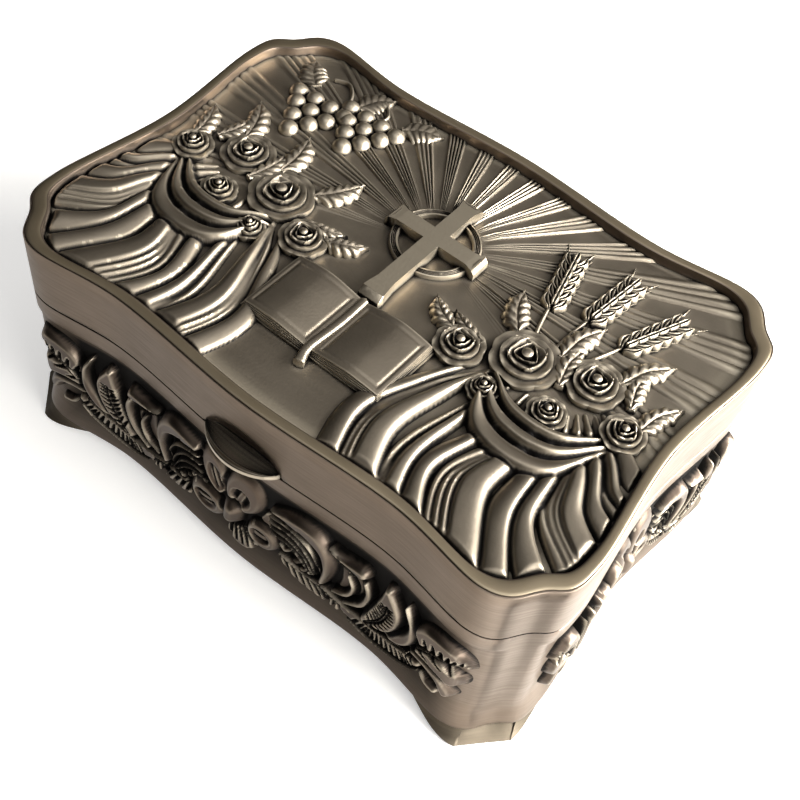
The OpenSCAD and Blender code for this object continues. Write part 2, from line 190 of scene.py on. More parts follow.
CAMERA_FROM_RIM = Vector((73.09, -113.64, 144.47))
CAMERA_TURN = (36.5238, -5.86098, 38.9966)
LENS_PX = 1199.6
FRAME_PX = 800
camera = put("camera", bpy.data.cameras.new("camera"))
camera.data.sensor_width = 36
camera.data.lens = LENS_PX / FRAME_PX * camera.data.sensor_width
camera.data.clip_start = 0.005
camera.rotation_euler = [math.radians(a) for a in CAMERA_TURN]
camera.location = (CAMERA_FROM_RIM + Vector((0, 0, RIM_Z))) * MM
bpy.context.scene.camera = camera
print("lens", round(camera.data.lens, 2), "mm at", [round(v, 3) for v in camera.location])


# %% Colours and nodes
def hex_colour(code):
    """A linear colour from an sRGB hex code."""
    parts = [int(code[i:i + 2], 16) / 255 for i in (1, 3, 5)]
    return [c / 12.92 if c <= 0.04045 else ((c + 0.055) / 1.055) ** 2.4 for c in parts] + [1]


def add(tree, kind, settings=None, **inputs):
    """Adds a node. Settings are its own properties; inputs are values or sockets."""
    node = tree.nodes.new(kind)
    for key, value in (settings or {}).items():
        setattr(node, key, value)
    for key, value in inputs.items():
        name = key.replace("_", " ")
        numbered = name.startswith("in") and name[2:].isdigit()
        socket = node.inputs[int(name[2:]) if numbered else name]
        if isinstance(value, bpy.types.NodeSocket):
            tree.links.new(value, socket)
        else:
            socket.default_value = value
    return node


def new_finish(name):
    """A new material, its node tree and its Principled BSDF."""
    material = bpy.data.materials.new(name)
    material.use_nodes = True
    return material, material.node_tree, material.node_tree.nodes["Principled BSDF"]


def ramp(tree, fac, *stops):
    """Colour ramp whose stops are pairs of place and hex colour."""
    node = add(tree, "ShaderNodeValToRGB", Fac=fac)
    while len(node.color_ramp.elements) < len(stops):
        node.color_ramp.elements.new(1)
    for element, (place, code) in zip(node.color_ramp.elements, stops):
        element.position = place
        element.color = hex_colour(code)
    return node.outputs["Color"]


# %% Floor and lights
FLOOR_HALF = 3.0
PAPER = "#f4f3f1"
# the grey and the dark below are a painted reflection and a painted shadow that the metal sees in
# the floor
PAINTED_REFLECTION_GREY = "#8b857d"
SHADE = "#0c0b0a"
GREY_TO_PALE = (-120, 80)
FLOOR_GLOW = 0.45
SHADE_FROM = (-38, 54)
SHADE_BEARING = -0.28
SHADE_EDGE = (0.16, 0.5)
floor_bm = bmesh.new()
bmesh.ops.create_grid(floor_bm, x_segments=1, y_segments=1, size=FLOOR_HALF)
floor_mesh = bpy.data.meshes.new("floor")
floor_bm.to_mesh(floor_mesh)
floor_bm.free()
floor = put("floor", floor_mesh)
paper, sheet, face = new_finish("white_paper")
spot = add(sheet, "ShaderNodeSeparateXYZ",
           Vector=add(sheet, "ShaderNodeTexCoord").outputs["Object"])
across = spot.outputs["X"]
# painted reflection: rays other than the camera's see a grey table that turns pale to the right
lit_side = add(sheet, "ShaderNodeMapRange", Value=across, From_Min=GREY_TO_PALE[0] * MM,
               From_Max=GREY_TO_PALE[1] * MM).outputs["Result"]
painted_reflection = ramp(sheet, lit_side, (0, PAINTED_REFLECTION_GREY), (0.8, PAINTED_REFLECTION_GREY), (0.95, PAPER))
painted_reflection_glow = ramp(sheet, lit_side, (0, "#b4b4b4"), (0.5, "#b0b0b0"), (0.8, "#909090"),
                     (0.93, "#000000"))
# painted shadow: a dark wedge in that painted reflection, running out from the front right corner
from_corner = [add(sheet, "ShaderNodeMath", {"operation": "SUBTRACT"}, in0=spot.outputs[axis],
                   in1=start * MM).outputs[0] for axis, start in zip("YX", SHADE_FROM)]
bearing = add(sheet, "ShaderNodeMath", {"operation": "ARCTAN2"}, in0=from_corner[0],
              in1=from_corner[1]).outputs[0]
turned = add(sheet, "ShaderNodeMath", {"operation": "SUBTRACT"}, in0=bearing,
             in1=SHADE_BEARING).outputs[0]
off_shade = add(sheet, "ShaderNodeMath", {"operation": "ABSOLUTE"}, in0=turned).outputs[0]
lit = add(sheet, "ShaderNodeMapRange", {"interpolation_type": "SMOOTHSTEP"}, Value=off_shade,
          From_Min=SHADE_EDGE[0], From_Max=SHADE_EDGE[1]).outputs["Result"]
painted_reflection = add(sheet, "ShaderNodeMix", {"data_type": "RGBA"}, in0=lit,
                     in6=hex_colour(SHADE), in7=painted_reflection).outputs[2]
# the camera sees plain paper; the painted reflection shows only in reflections and bounced light
by_eye = add(sheet, "ShaderNodeLightPath").outputs["Is Camera Ray"]
shown = add(sheet, "ShaderNodeMix", {"data_type": "RGBA"}, in0=by_eye, in6=painted_reflection,
            in7=hex_colour(PAPER)).outputs[2]
# painted light: the floor glows, evenly for the camera, and for other rays on all but its far right
glow = add(sheet, "ShaderNodeMix", {"data_type": "FLOAT"}, in0=by_eye, in2=painted_reflection_glow,
           in3=FLOOR_GLOW).outputs[0]
sheet.links.new(shown, face.inputs["Base Color"])
sheet.links.new(glow, face.inputs["Emission Strength"])
face.inputs["Emission Color"].default_value = hex_colour("#ffffff")
face.inputs["Roughness"].default_value = 0.9
floor_mesh.materials.append(paper)


def softbox(name, place, aim, size, watts, tint):
    """A flat rectangular light at place, in millimetres, that looks at aim."""
    light = bpy.data.lights.new(name, "AREA")
    light.shape = "RECTANGLE"
    light.size, light.size_y = (s * MM for s in size)
    light.energy = watts
    light.color = hex_colour(tint)[:3]
    lamp = put(name, light)
    lamp.location = Vector(place) * MM
    lamp.rotation_euler = (Vector(aim) - Vector(place)).to_track_quat("-Z", "Y").to_euler()


softbox("window", (820, 330, 440), (0, 0, 30), (1000, 700), 32, "#fffaf2")
softbox("window_pane", (430, 190, 250), (20, 0, 30), (320, 270), 5.5, "#ffffff")
softbox("low_pane", (700, -20, 130), (0, 0, 30), (700, 240), 11, "#fffdf8")
softbox("ceiling", (100, -100, 1300), (0, 0, 30), (900, 900), 3.2, "#ffffff")
bpy.context.scene.view_settings.view_transform = "Standard"

# %% [markdown]
# Polished metal shows its surroundings, so the room counts as much as the lamps. The room
# is bright above and towards the window, and dark brown on the other side. The camera
# itself sees a plain pale backdrop.

# %% The room that the metal reflects
world = bpy.data.worlds.new("studio")
world.use_nodes = True
room = world.node_tree
TO_WINDOW = (0.72, 0.45, 0.53)
way = add(room, "ShaderNodeTexCoord").outputs["Generated"]
facing = add(room, "ShaderNodeVectorMath", {"operation": "DOT_PRODUCT"}, in0=way,
             in1=TO_WINDOW).outputs["Value"]
share = add(room, "ShaderNodeMapRange", Value=facing, From_Min=-0.7, From_Max=0.9).outputs["Result"]
walls = ramp(room, share, (0, "#151110"), (0.42, "#332d28"), (0.75, "#b9b4ac"), (1, "#ffffff"))
seen = add(room, "ShaderNodeLightPath").outputs["Is Camera Ray"]
backdrop = add(room, "ShaderNodeMix", {"data_type": "RGBA"}, in0=seen, in6=walls,
               in7=hex_colour("#f1efec")).outputs[2]
room.links.new(backdrop, room.nodes["Background"].inputs["Color"])
room.nodes["Background"].inputs["Strength"].default_value = 0.52
bpy.context.scene.world = world

# %% [markdown]
# ## Antique pewter
#
# The castings get their pewter look from a blackening bath, and are then polished on a
# wheel. The bath leaves a nearly black film that survives wherever the wheel can't reach.
# Ambient occlusion finds those hollows, and pointiness finds the edges that the wheel
# brightens. The wheel leaves fine parallel scratches, so the plain faces have a noise that
# is drawn out along the polishing direction. Real scratches lie about 0.1 mm apart, too
# fine to show, so they are drawn 0.3 mm apart and many millimetres long.

# %% Pewter materials
METAL_BRIGHT = "#cdc3b2"
METAL_DULL = "#696053"
FILM = "#090706"
FILM_DEPTH = 1.6
FILM_SHINE = 0.12
SCRATCH_PITCH = 0.32
SCRATCH_LENGTH = 9
CLOUD_SIZE = 9
GRAIN_SIZE = 0.5
FIELD_SOOT = (FIELD_Z, BAND_Z)
COLUMN_X = (47.5, 50.5)
COLUMN_Y = (27.5, 30.5)
SOOT_END = ((38, 49), (18, 29))


def antique_pewter(name, tone, scratches=(1, 1, 0), scratch_depth=0.25, film=(0.3, 0.78),
                   dull=METAL_DULL, rough=0.3, film_depth=FILM_DEPTH, field_soot=0.0,
                   edges=METAL_BRIGHT, grains=0.12):
    """Blackened and polished pewter. scratches is 1 along each axis that they follow.

    Places that are less open than film[0] stay black, and those more open than film[1] are
    bare. field_soot is how much film covers the sunk field behind the garlands.
    """
    material, tree, body = new_finish(name)
    # three patterns: scratches, soft clouds and a fine grain
    place = add(tree, "ShaderNodeTexCoord").outputs["Object"]
    stretch = [1 / (MM * (SCRATCH_LENGTH if s else SCRATCH_PITCH)) for s in scratches]
    drawn = add(tree, "ShaderNodeMapping", Vector=place, Scale=stretch).outputs["Vector"]
    lines = add(tree, "ShaderNodeTexNoise", Vector=drawn, Scale=1, Detail=3).outputs["Fac"]
    cloud = add(tree, "ShaderNodeTexNoise", Vector=place, Scale=1 / (CLOUD_SIZE * MM),
                Detail=4).outputs["Fac"]
    grain = add(tree, "ShaderNodeTexNoise", Vector=place, Scale=1 / (GRAIN_SIZE * MM),
                Detail=2).outputs["Fac"]
    # where the wheel reached: open places, outside the sooty field, without soot of their own
    hollow = add(tree, "ShaderNodeAmbientOcclusion", {"samples": 8},
                 Distance=film_depth * MM).outputs["AO"]
    reached = add(tree, "ShaderNodeMapRange", {"interpolation_type": "SMOOTHSTEP"},
                  Value=hollow, From_Min=film[0], From_Max=film[1]).outputs["Result"]
    soot = add(tree, "ShaderNodeAttribute", {"attribute_name": "soot"}).outputs["Fac"]
    spot = add(tree, "ShaderNodeSeparateXYZ", Vector=place)
    height = spot.outputs["Z"]
    above = add(tree, "ShaderNodeMapRange", Value=height, From_Min=(FIELD_SOOT[1] - 1.4) * MM,
                From_Max=(FIELD_SOOT[1] + 0.8) * MM).outputs["Result"]
    below = add(tree, "ShaderNodeMapRange", Value=height, From_Min=(FIELD_SOOT[0] + 4) * MM,
                From_Max=(FIELD_SOOT[0] - 5) * MM, To_Max=0.55).outputs["Result"]
    outside = add(tree, "ShaderNodeMath", {"operation": "MAXIMUM"}, in0=above, in1=below).outputs[0]
    past = []
    for axis, (start, end) in zip("XY", SOOT_END):
        away = add(tree, "ShaderNodeMath", {"operation": "ABSOLUTE"},
                   in0=spot.outputs[axis]).outputs[0]
        past.append(add(tree, "ShaderNodeMapRange", Value=away, From_Min=start * MM,
                        From_Max=end * MM).outputs["Result"])
    column = add(tree, "ShaderNodeMath", {"operation": "MINIMUM"}, in0=past[0],
                 in1=past[1]).outputs[0]
    outside = add(tree, "ShaderNodeMath", {"operation": "MAXIMUM"}, in0=outside,
                  in1=column).outputs[0]
    clean = add(tree, "ShaderNodeMapRange", Value=outside, To_Min=1 - field_soot).outputs["Result"]
    wiped = add(tree, "ShaderNodeMath", {"operation": "SUBTRACT", "use_clamp": True}, in0=clean,
                in1=soot).outputs[0]
    open_to_wheel = add(tree, "ShaderNodeMath", {"operation": "MULTIPLY"}, in0=reached,
                        in1=wiped).outputs[0]
    # colour: two tones under the clouds, pale worn edges, black film over what is left
    edge = add(tree, "ShaderNodeNewGeometry").outputs["Pointiness"]
    worn = add(tree, "ShaderNodeMapRange", {"interpolation_type": "SMOOTHSTEP"},
               Value=edge, From_Min=0.505, From_Max=0.56).outputs["Result"]
    streaky = add(tree, "ShaderNodeMath", {"operation": "MULTIPLY_ADD"}, in0=lines,
                  in1=2 * scratch_depth, in2=cloud).outputs[0]
    uneven = add(tree, "ShaderNodeMapRange", Value=streaky, From_Min=0.3 + 0.6 * scratch_depth,
                 From_Max=0.7 + 1.4 * scratch_depth, To_Min=0, To_Max=0.6).outputs["Result"]
    plain = add(tree, "ShaderNodeMix", {"data_type": "RGBA"}, in0=uneven,
                in6=hex_colour(tone), in7=hex_colour(dull)).outputs[2]
    wheel = add(tree, "ShaderNodeMix", {"data_type": "RGBA"}, in0=worn,
                in6=plain, in7=hex_colour(edges)).outputs[2]
    colour = add(tree, "ShaderNodeMix", {"data_type": "RGBA"}, in0=open_to_wheel,
                 in6=hex_colour(FILM), in7=wheel).outputs[2]
    # the film is dull and no metal, the bare pewter glossy, and scratches spread its shine
    gloss = add(tree, "ShaderNodeMapRange", Value=lines, From_Min=0.25, From_Max=0.75,
                To_Min=rough - 0.16 * scratch_depth,
                To_Max=rough + 0.02 + 0.4 * scratch_depth).outputs["Result"]
    roughness = add(tree, "ShaderNodeMix", {"data_type": "FLOAT"}, in0=open_to_wheel,
                    in2=0.75, in3=gloss).outputs[0]
    metallic = add(tree, "ShaderNodeMapRange", Value=open_to_wheel, To_Min=0,
                   To_Max=1).outputs["Result"]
    fine = add(tree, "ShaderNodeBump", Strength=grains, Distance=0.05 * MM,
               Height=grain).outputs["Normal"]
    bump = add(tree, "ShaderNodeBump", Strength=scratch_depth, Distance=0.06 * MM, Height=lines,
               Normal=fine).outputs["Normal"]
    body.inputs["Specular IOR Level"].default_value = FILM_SHINE
    for socket, value in (("Base Color", colour), ("Roughness", roughness),
                          ("Metallic", metallic), ("Normal", bump)):
        tree.links.new(value, body.inputs[socket])
    return material


# %% Seven pewter finishes
# brushed, with the film left in the sunk field: brown grey, with soft streaks
wall_pewter = antique_pewter("antique_pewter_brushed_walls", "#83766a", film=(0.4, 0.9),
                             dull="#625649", rough=0.34, film_depth=4, field_soot=1,
                             edges="#83766a")
# brushed along the box: warm grey with long soft streaks
band_pewter = antique_pewter("antique_pewter_brushed_band", "#83766a", scratch_depth=0.3,
                             dull="#625649", rough=0.34, edges="#83766a")
# dull like a casting that is hardly polished, and darker than the walls, which is painted shade on
# the feet
foot_pewter_painted_shade = antique_pewter("antique_pewter_cast_feet", "#645c50", film=(0.4, 0.9),
                             dull="#4e473e", rough=0.5, film_depth=4, edges="#645c50")
# the palest and cleanest metal, on the rim's top face
rim_pewter = antique_pewter("antique_pewter_pale_rim", "#a0937d", scratch_depth=0.1,
                            film=(0.2, 0.6), dull="#8d8069", rough=0.38, edges="#b0a48e")
# polished by the wheel: bright crests with a fine grain, black in the cuts
relief_pewter = antique_pewter("antique_pewter_polished_relief", "#91887a", (1, 0, 1), 0.03,
                               (0.45, 0.93), "#6a6257", 0.42, edges="#b6ac9a", grains=0.5)
# lightly brushed: darker than the walls, with pale edges and much film in the cuts
garland_pewter = antique_pewter("antique_pewter_garlands", "#685c52", (1, 1, 0), 0.05,
                                (0.58, 0.98), "#403832", 0.38, 2.2, edges="#aaa090", grains=0.3)
# a dark hollow with a worn, pale edge: film with a long reach, which is partly patina and partly
# painted shade in the scoop
lip_pewter = antique_pewter("antique_pewter_thumb_lip", "#7d7467", film=(0.5, 0.9), film_depth=5)
print("materials:", [m.name for m in bpy.data.materials])

# %% [markdown]
# ## How a casting is shaped
#
# A casting's faces are curved sheets, so most pieces start from a grid whose points are
# bent into place by a short formula. Where a sheet closes on itself the doubled points are
# merged. A raised ornament gets a skirt that runs down into the ground, and a floor.

# %% Helpers for sheets, islands and finished pieces
def bend_grid(bm, along, across, shape):
    """Adds a grid and moves each point to shape(u, v), where u and v run from 0 to 1."""
    made = bmesh.ops.create_grid(bm, x_segments=along, y_segments=across, size=1)["verts"]
    for vert in made:
        vert.co = shape((vert.co.x + 1) / 2, (vert.co.y + 1) / 2)
    bmesh.ops.remove_doubles(bm, verts=made, dist=0.004)
    return [v for v in made if v.is_valid]


def set_height(parts, z):
    """Puts every vertex among the parts at height z."""
    for part in parts:
        if isinstance(part, bmesh.types.BMVert):
            part.co.z = z


def island(bm, along, across, shape, foot=-0.3):
    """A raised shape drawn flat: x, y and height, closed by a skirt and a floor."""
    made = bend_grid(bm, along, across, shape)
    rim = {e for v in made for e in v.link_edges if e.is_boundary}
    skirt = bmesh.ops.extrude_edge_only(bm, edges=list(rim))["geom"]
    set_height(skirt, foot)
    open_edges = [e for e in skirt if isinstance(e, bmesh.types.BMEdge) and e.is_boundary]
    bmesh.ops.contextual_create(bm, geom=open_edges)


def mirrored(bm):
    """Adds the mirror image of everything in bm, across x = 0."""
    whole = bmesh.ops.duplicate(bm, geom=bm.verts[:] + bm.edges[:] + bm.faces[:])["geom"]
    copies = [v for v in whole if isinstance(v, bmesh.types.BMVert)]
    bmesh.ops.scale(bm, vec=(-1, 1, 1), verts=copies)


def casting(bm, name, metal, body, nodes, crease=38):
    """Makes a piece from bm, which is in millimetres, and ties it to its body and nodes."""
    bmesh.ops.recalc_face_normals(bm, faces=bm.faces)
    bmesh.ops.scale(bm, vec=(MM, MM, MM), verts=bm.verts)
    mesh = bpy.data.meshes.new(name)
    bm.to_mesh(mesh)
    bm.free()
    mesh.shade_smooth()
    mesh.set_sharp_from_angle(angle=math.radians(crease))
    mesh.materials.append(metal)
    piece = put(name, mesh)
    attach(piece, body)
    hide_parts(*nodes)
    mesh.calc_loop_triangles()
    print(name, "has", len(mesh.loop_triangles), "triangles")
    return piece


def held(value):
    """A value held between 0 and 1."""
    return min(1, max(0, value))


def part_way(value, start, end):
    """How far value is on the way from start to end, from 0 to 1."""
    return held((value - start) / (end - start))


def blend(values, t):
    """Smooth value at t on a row of evenly spaced values."""
    place = held(t) * (len(values) - 1)
    i = min(int(place), len(values) - 2)
    f = (1 - math.cos(math.pi * (place - i))) / 2
    return values[i] * (1 - f) + values[i + 1] * f


def smooth_step(value, start, end):
    """Part of the way from start to end, with a soft start and a soft end."""
    f = part_way(value, start, end)
    return f * f * (3 - 2 * f)


def swept(profile, sunk=0.0):
    """A wall whose closed profile of (inset, z) pairs runs round the outline.

    Insets of up to sunk fade out on the corner columns.
    """
    rings = [outline(inset) for inset, z in profile]
    flush = outline(0)
    count = len(rings[0])
    bm = bmesh.new()

    def shape(u, v):
        j = round(v * len(profile)) % len(profile)
        i = round(u * count) % count
        spot = rings[j][i]
        if 0 < profile[j][0] <= sunk:
            spot = spot.lerp(flush[i], min(smooth_step(abs(spot.x), *COLUMN_X),
                                           smooth_step(abs(spot.y), *COLUMN_Y)))
        return spot.x, spot.y, profile[j][1]

    bend_grid(bm, count, len(profile), shape)
    return bm


# %% [markdown]
# ## Base wall
#
# The wall is one casting with a plain band under the parting line, a sunk field for the
# garlands and a foot that flares softly to the hem. A milled block wouldn't have these soft
# turns, so the profile gets extra points wherever the pattern maker would leave a radius. A
# ledge inside the foot carries the bottom plate.

# %% Base wall
HEM_OUT = 0.7
LEDGE_IN = 3.6
LEDGE_Z = 4.2
wall_profile = [
    (LEDGE_IN, HEM_Z), (LEDGE_IN, LEDGE_Z), (WALL_T, LEDGE_Z), (WALL_T, 20),
    (WALL_T, PARTING_Z - 0.2), (WALL_T - 0.2, PARTING_Z), (0.3, PARTING_Z), (0.06, PARTING_Z),
    (0, PARTING_Z - 0.06), (0, 33.5), (0, BAND_Z + 0.5), (0.06, BAND_Z + 0.2), (0.25, BAND_Z),
    (FIELD_IN - 0.05, BAND_Z - 0.15), (FIELD_IN, BAND_Z - 0.5), (FIELD_IN, 26), (FIELD_IN, 20),
    (FIELD_IN, 14), (FIELD_IN, 10.6), (0.4, 9.6), (0.2, 8.6), (0, 7.6), (-0.2, 6.4),
    (-0.42, 5.2), (-0.6, 4.2), (-HEM_OUT, 3.5), (-HEM_OUT + 0.04, 3.2), (-HEM_OUT + 0.2, HEM_Z),
    (1.5, HEM_Z)]
bm = swept(wall_profile, FIELD_IN)
casting(bm, "base_wall_casting", wall_pewter, "base", ["base_wall"])

# %% [markdown]
# ## Lid frame
#
# The frame is a second casting: a plain band with a flat rim, and a rebate that the plaque
# drops into. A thin groove parts the rim from the band. At the front the band is scooped
# out for a thumb, so rows of points lie across the band, closest together round the scoop.

# %% Lid frame
SEAT_IN = 4
SEAT_T = 1.2
BAND_ROWS = (45, 43.4, 42, 41.4, 40.8, 40.2, 39.6, 39, 38.3, 37.6, 36.8, 36.2)
SCOOP_HALF = 8
SCOOP_TOP = 41.4
SCOOP_DEEP = 1.35
lid_profile = [
    (SEAT_IN, SEAT_Z - SEAT_T), (SEAT_IN, SEAT_Z), (RIM_W, SEAT_Z), (RIM_W, RIM_Z - 0.4),
    (2.14, RIM_Z - 0.16), (1.98, RIM_Z - 0.07), (1.6, RIM_Z - 0.02), (1.15, RIM_Z),
    (0.7, RIM_Z - 0.02), (0.42, RIM_Z - 0.06), (0.34, RIM_Z - 0.12), (0.3, RIM_Z - 0.34),
    (0.22, RIM_Z - 0.36), (0.16, RIM_Z - 0.22), (0.08, RIM_Z - 0.26), (0, RIM_Z - 0.45)]
lid_profile += [(0, z) for z in BAND_ROWS]
lid_profile += [(0, LID_Z + 0.22), (0.05, LID_Z + 0.16), (0.7, LID_Z + 0.1), (WALL_T - 0.2, LID_Z),
                (WALL_T, LID_Z + 0.2), (WALL_T, 40), (WALL_T, SEAT_Z - SEAT_T)]
bm = swept(lid_profile)
for vert in bm.verts:
    x, y, z = vert.co
    if y < -HALF_W + 1.5 and abs(x) < SCOOP_HALF and z < SCOOP_TOP:
        wide = math.sqrt(1 - (x / SCOOP_HALF) ** 2)
        below = (SCOOP_TOP - z) / (SCOOP_TOP - LID_Z) - (1 - wide)
        vert.co.y += SCOOP_DEEP * smooth_step(below, 0, 0.55) * wide
lid_frame = casting(bm, "lid_frame_casting", band_pewter, "lid", ["lid_frame"])
lid_frame.data.materials.append(rim_pewter)
for polygon in lid_frame.data.polygons:
    if polygon.center.z > (RIM_Z - 0.11) * MM:
        polygon.material_index = 1

# %% [markdown]
# ## Hinge pads
#
# A flat leaf can't lie on a curved wall, so a low flat pad is cast on the middle of the back,
# one on the base and one on the lid. Each is a block whose outer edges are bevelled.

# %% Flat pads that the hinge lies on
PAD_HALF = 12
PAD_Y = HALF_W - 0.16
PAD_TALL = 6.4
for name, bottom, body_name, node, metal in (
        ("hinge_pad_base", PARTING_Z - PAD_TALL, "base", "base_wall", wall_pewter),
        ("hinge_pad_lid", LID_Z, "lid", "lid_frame", band_pewter)):
    bm = bmesh.new()
    bmesh.ops.create_cube(bm, size=1)
    bmesh.ops.scale(bm, vec=(2 * PAD_HALF, WALL_T, PAD_TALL), verts=bm.verts)
    front_edges = [e for e in bm.edges if min(v.co.y for v in e.verts) > 0]
    bmesh.ops.bevel(bm, geom=front_edges, offset=0.25, segments=3, profile=0.5, affect="EDGES",
                    material=-1)
    bmesh.ops.translate(bm, vec=(0, PAD_Y - WALL_T / 2, bottom + PAD_TALL / 2), verts=bm.verts)
    casting(bm, name, metal, body_name, [node])

# %% [markdown]
# ## The plaque's ground and its rays
#
# The plaque was cast on its own and dropped into the rebate. Rays run from the ring to the
# rim in bundles of four or five fine ridges, with plain wedges between. A polar grid suits
# them: each of its lines is a ray, so a ridge is a change of height from line to line.

# %% Plaque ground
GLORY = Vector((0, 10))
RING_R = 8
RAYS = 28
RAY_H = 0.42
LINES_PER_RAY = 28
RAY_RINGS = 16
RAYS_FADE = 0.42
PLAQUE_JOINT = 0.12
plaque_rim = outline(RIM_W + PLAQUE_JOINT, 12)
TABLE_SIZE = 720
reach_tables = {}


def plaque_reach(centre, angle):
    """Distance from centre to the plaque's edge, read between the lines of a table."""
    key = (round(centre.x, 2), round(centre.y, 2))
    if key not in reach_tables:
        reach_tables[key] = [reach(centre, 2 * math.pi * i / TABLE_SIZE, plaque_rim)
                             for i in range(TABLE_SIZE)]
    table = reach_tables[key]
    place = angle / (2 * math.pi) % 1 * TABLE_SIZE
    i = int(place) % TABLE_SIZE
    return table[i] * (1 - place % 1) + table[(i + 1) % TABLE_SIZE] * (place % 1)


ray_lines = []
for bundle in range(RAYS):
    strands = random.choice((4, 4, 5))
    broad = random.uniform(0.52, 0.64)
    for line in range(LINES_PER_RAY):
        at = line / LINES_PER_RAY
        inside = at < broad
        crest = abs(math.sin(math.pi * strands * at / broad)) ** 0.7 if inside else 0
        which = int(strands * at / broad) if inside else 0
        start = random.Random(bundle * 10 + which).uniform(0.02, 0.22)
        ray_lines.append((crest, start))
RAY_COUNT = len(ray_lines)


def ray_ground(u, v):
    """The ground with its rays, which fade out below the ring."""
    angle = 2 * math.pi * u
    far = plaque_reach(GLORY, angle)
    r = far * v
    crest, start = ray_lines[round(u * RAY_COUNT) % RAY_COUNT]
    upward = held((math.sin(angle) + RAYS_FADE) / 0.25)
    grown = held((r - RING_R) / (far - RING_R) / (start + 0.05))
    rise = RAY_H * crest * upward * grown * held(r - RING_R + 1)
    return GLORY.x + r * math.cos(angle), GLORY.y + r * math.sin(angle), GROUND_Z + rise


bm = bmesh.new()
bend_grid(bm, RAY_COUNT, RAY_RINGS, ray_ground)
rim = [e for e in bm.edges if e.is_boundary]
skirt = bmesh.ops.extrude_edge_only(bm, edges=rim)["geom"]
set_height(skirt, SEAT_Z)
bmesh.ops.contextual_create(bm, geom=[e for e in bm.edges if e.is_boundary])
casting(bm, "plaque_ground", relief_pewter, "lid", ["lid_plaque"])


def lay_on_plaque(bm, name, middle=(0, 0)):
    """Lifts a carving onto the plaque's ground and finishes it."""
    bmesh.ops.translate(bm, vec=(*middle, GROUND_Z), verts=bm.verts)
    casting(bm, name, relief_pewter, "lid", ["lid_plaque"])


# %% [markdown]
# ## Ring and cross
#
# The ring round the cross is turned, so its section is spun about its own middle: two fine
# ridges between two plain edges. The cross starts as one small block at the crossing. Its
# four sides are extruded into arms that widen a little at their ends. An inset raises the
# top, and every sharp edge above the ground is bevelled as a file would leave it.

# %% Ring
SUNK = -0.3
# depth in from the ring's outer edge, and height over the ground
RING_SECTION = ((1.6, SUNK), (1.6, 0.7), (1.45, 1), (1.2, 1.05), (1.05, 0.75), (0.9, 1),
                (0.75, 0.75), (0.6, 1), (0.45, 0.75), (0.28, 1), (0.08, 0.9), (0, 0.6), (0, SUNK))
bm = bmesh.new()
line = [bm.verts.new((RING_R - inward, 0, tall)) for inward, tall in RING_SECTION]
edges = [bm.edges.new(pair) for pair in zip(line, line[1:] + line[:1])]
bmesh.ops.spin(bm, geom=line + edges, cent=(0, 0, 0), axis=(0, 0, 1), angle=2 * math.pi,
               steps=96, use_merge=True)
lay_on_plaque(bm, "plaque_ring", GLORY)

# %% Cross
CROSS_BAR = 3.2
CROSS_RISE = 1.5
CROSS_ARMS = {(0, 1): 11, (0, -1): 18, (1, 0): 9.5, (-1, 0): 9.5}
# each extrusion's share of the arm, and how much wider it ends
ARM_PARTS = ((0.72, 1), (0.2, 1.3), (0.08, 1))
bm = bmesh.new()
bmesh.ops.create_cube(bm, size=CROSS_BAR)
for vert in bm.verts:
    vert.co.z = CROSS_RISE if vert.co.z > 0 else SUNK
for (dx, dy), length in CROSS_ARMS.items():
    way = Vector((dx, dy, 0))
    side = next(f for f in bm.faces if f.normal.dot(way) > 0.9 and
                abs(f.calc_center_median().dot(way) - CROSS_BAR / 2) < 0.01)
    run = length - CROSS_BAR / 2
    for share, widen in ARM_PARTS:
        new = bmesh.ops.extrude_face_region(bm, geom=[side])["geom"]
        side = next(f for f in new if isinstance(f, bmesh.types.BMFace))
        bmesh.ops.translate(bm, vec=way * (share * run), verts=side.verts)
        middle = side.calc_center_median()
        for vert in side.verts:
            off = vert.co - middle
            vert.co = middle + Vector((off.x * widen, off.y * widen, off.z))
bmesh.ops.recalc_face_normals(bm, faces=bm.faces)
face = [f for f in bm.faces if f.normal.z > 0.9]
bmesh.ops.inset_region(bm, faces=face, thickness=1.25, depth=0.8, use_even_offset=True)
corners = [e for e in bm.edges if len(e.link_faces) == 2 and e.calc_face_angle() > 0.9
           and min(v.co.z for v in e.verts) > 0]
bmesh.ops.bevel(bm, geom=corners, offset=0.16, segments=2, profile=0.5, affect="EDGES",
                material=-1)
lay_on_plaque(bm, "plaque_cross", GLORY)

# %% [markdown]
# ## Fronds
#
# The plaque's leaves, stems and grains and the book's ribbon are all one kind of form: a
# long raised shape that follows a curved spine. It has a width that changes along the
# spine, one or more rounded ribs that run with it, and if it is a leaf, cuts that slant
# back from the spine. It is drawn flat, and laid on the plaque with the rest of its piece.

# %% Lines and fronds
LEAF_SLANT = 0.9
LEAF_RAGGED = 0.16
MIDRIB = 0.1


def on_line(points, t):
    """Point at t (0 to 1) of a smooth line through points."""
    ends = [2 * points[0] - points[1], *points, 2 * points[-1] - points[-2]]
    place = held(t) * (len(points) - 1)
    i = min(int(place), len(points) - 2)
    return span(*ends[i:i + 4], place - i)


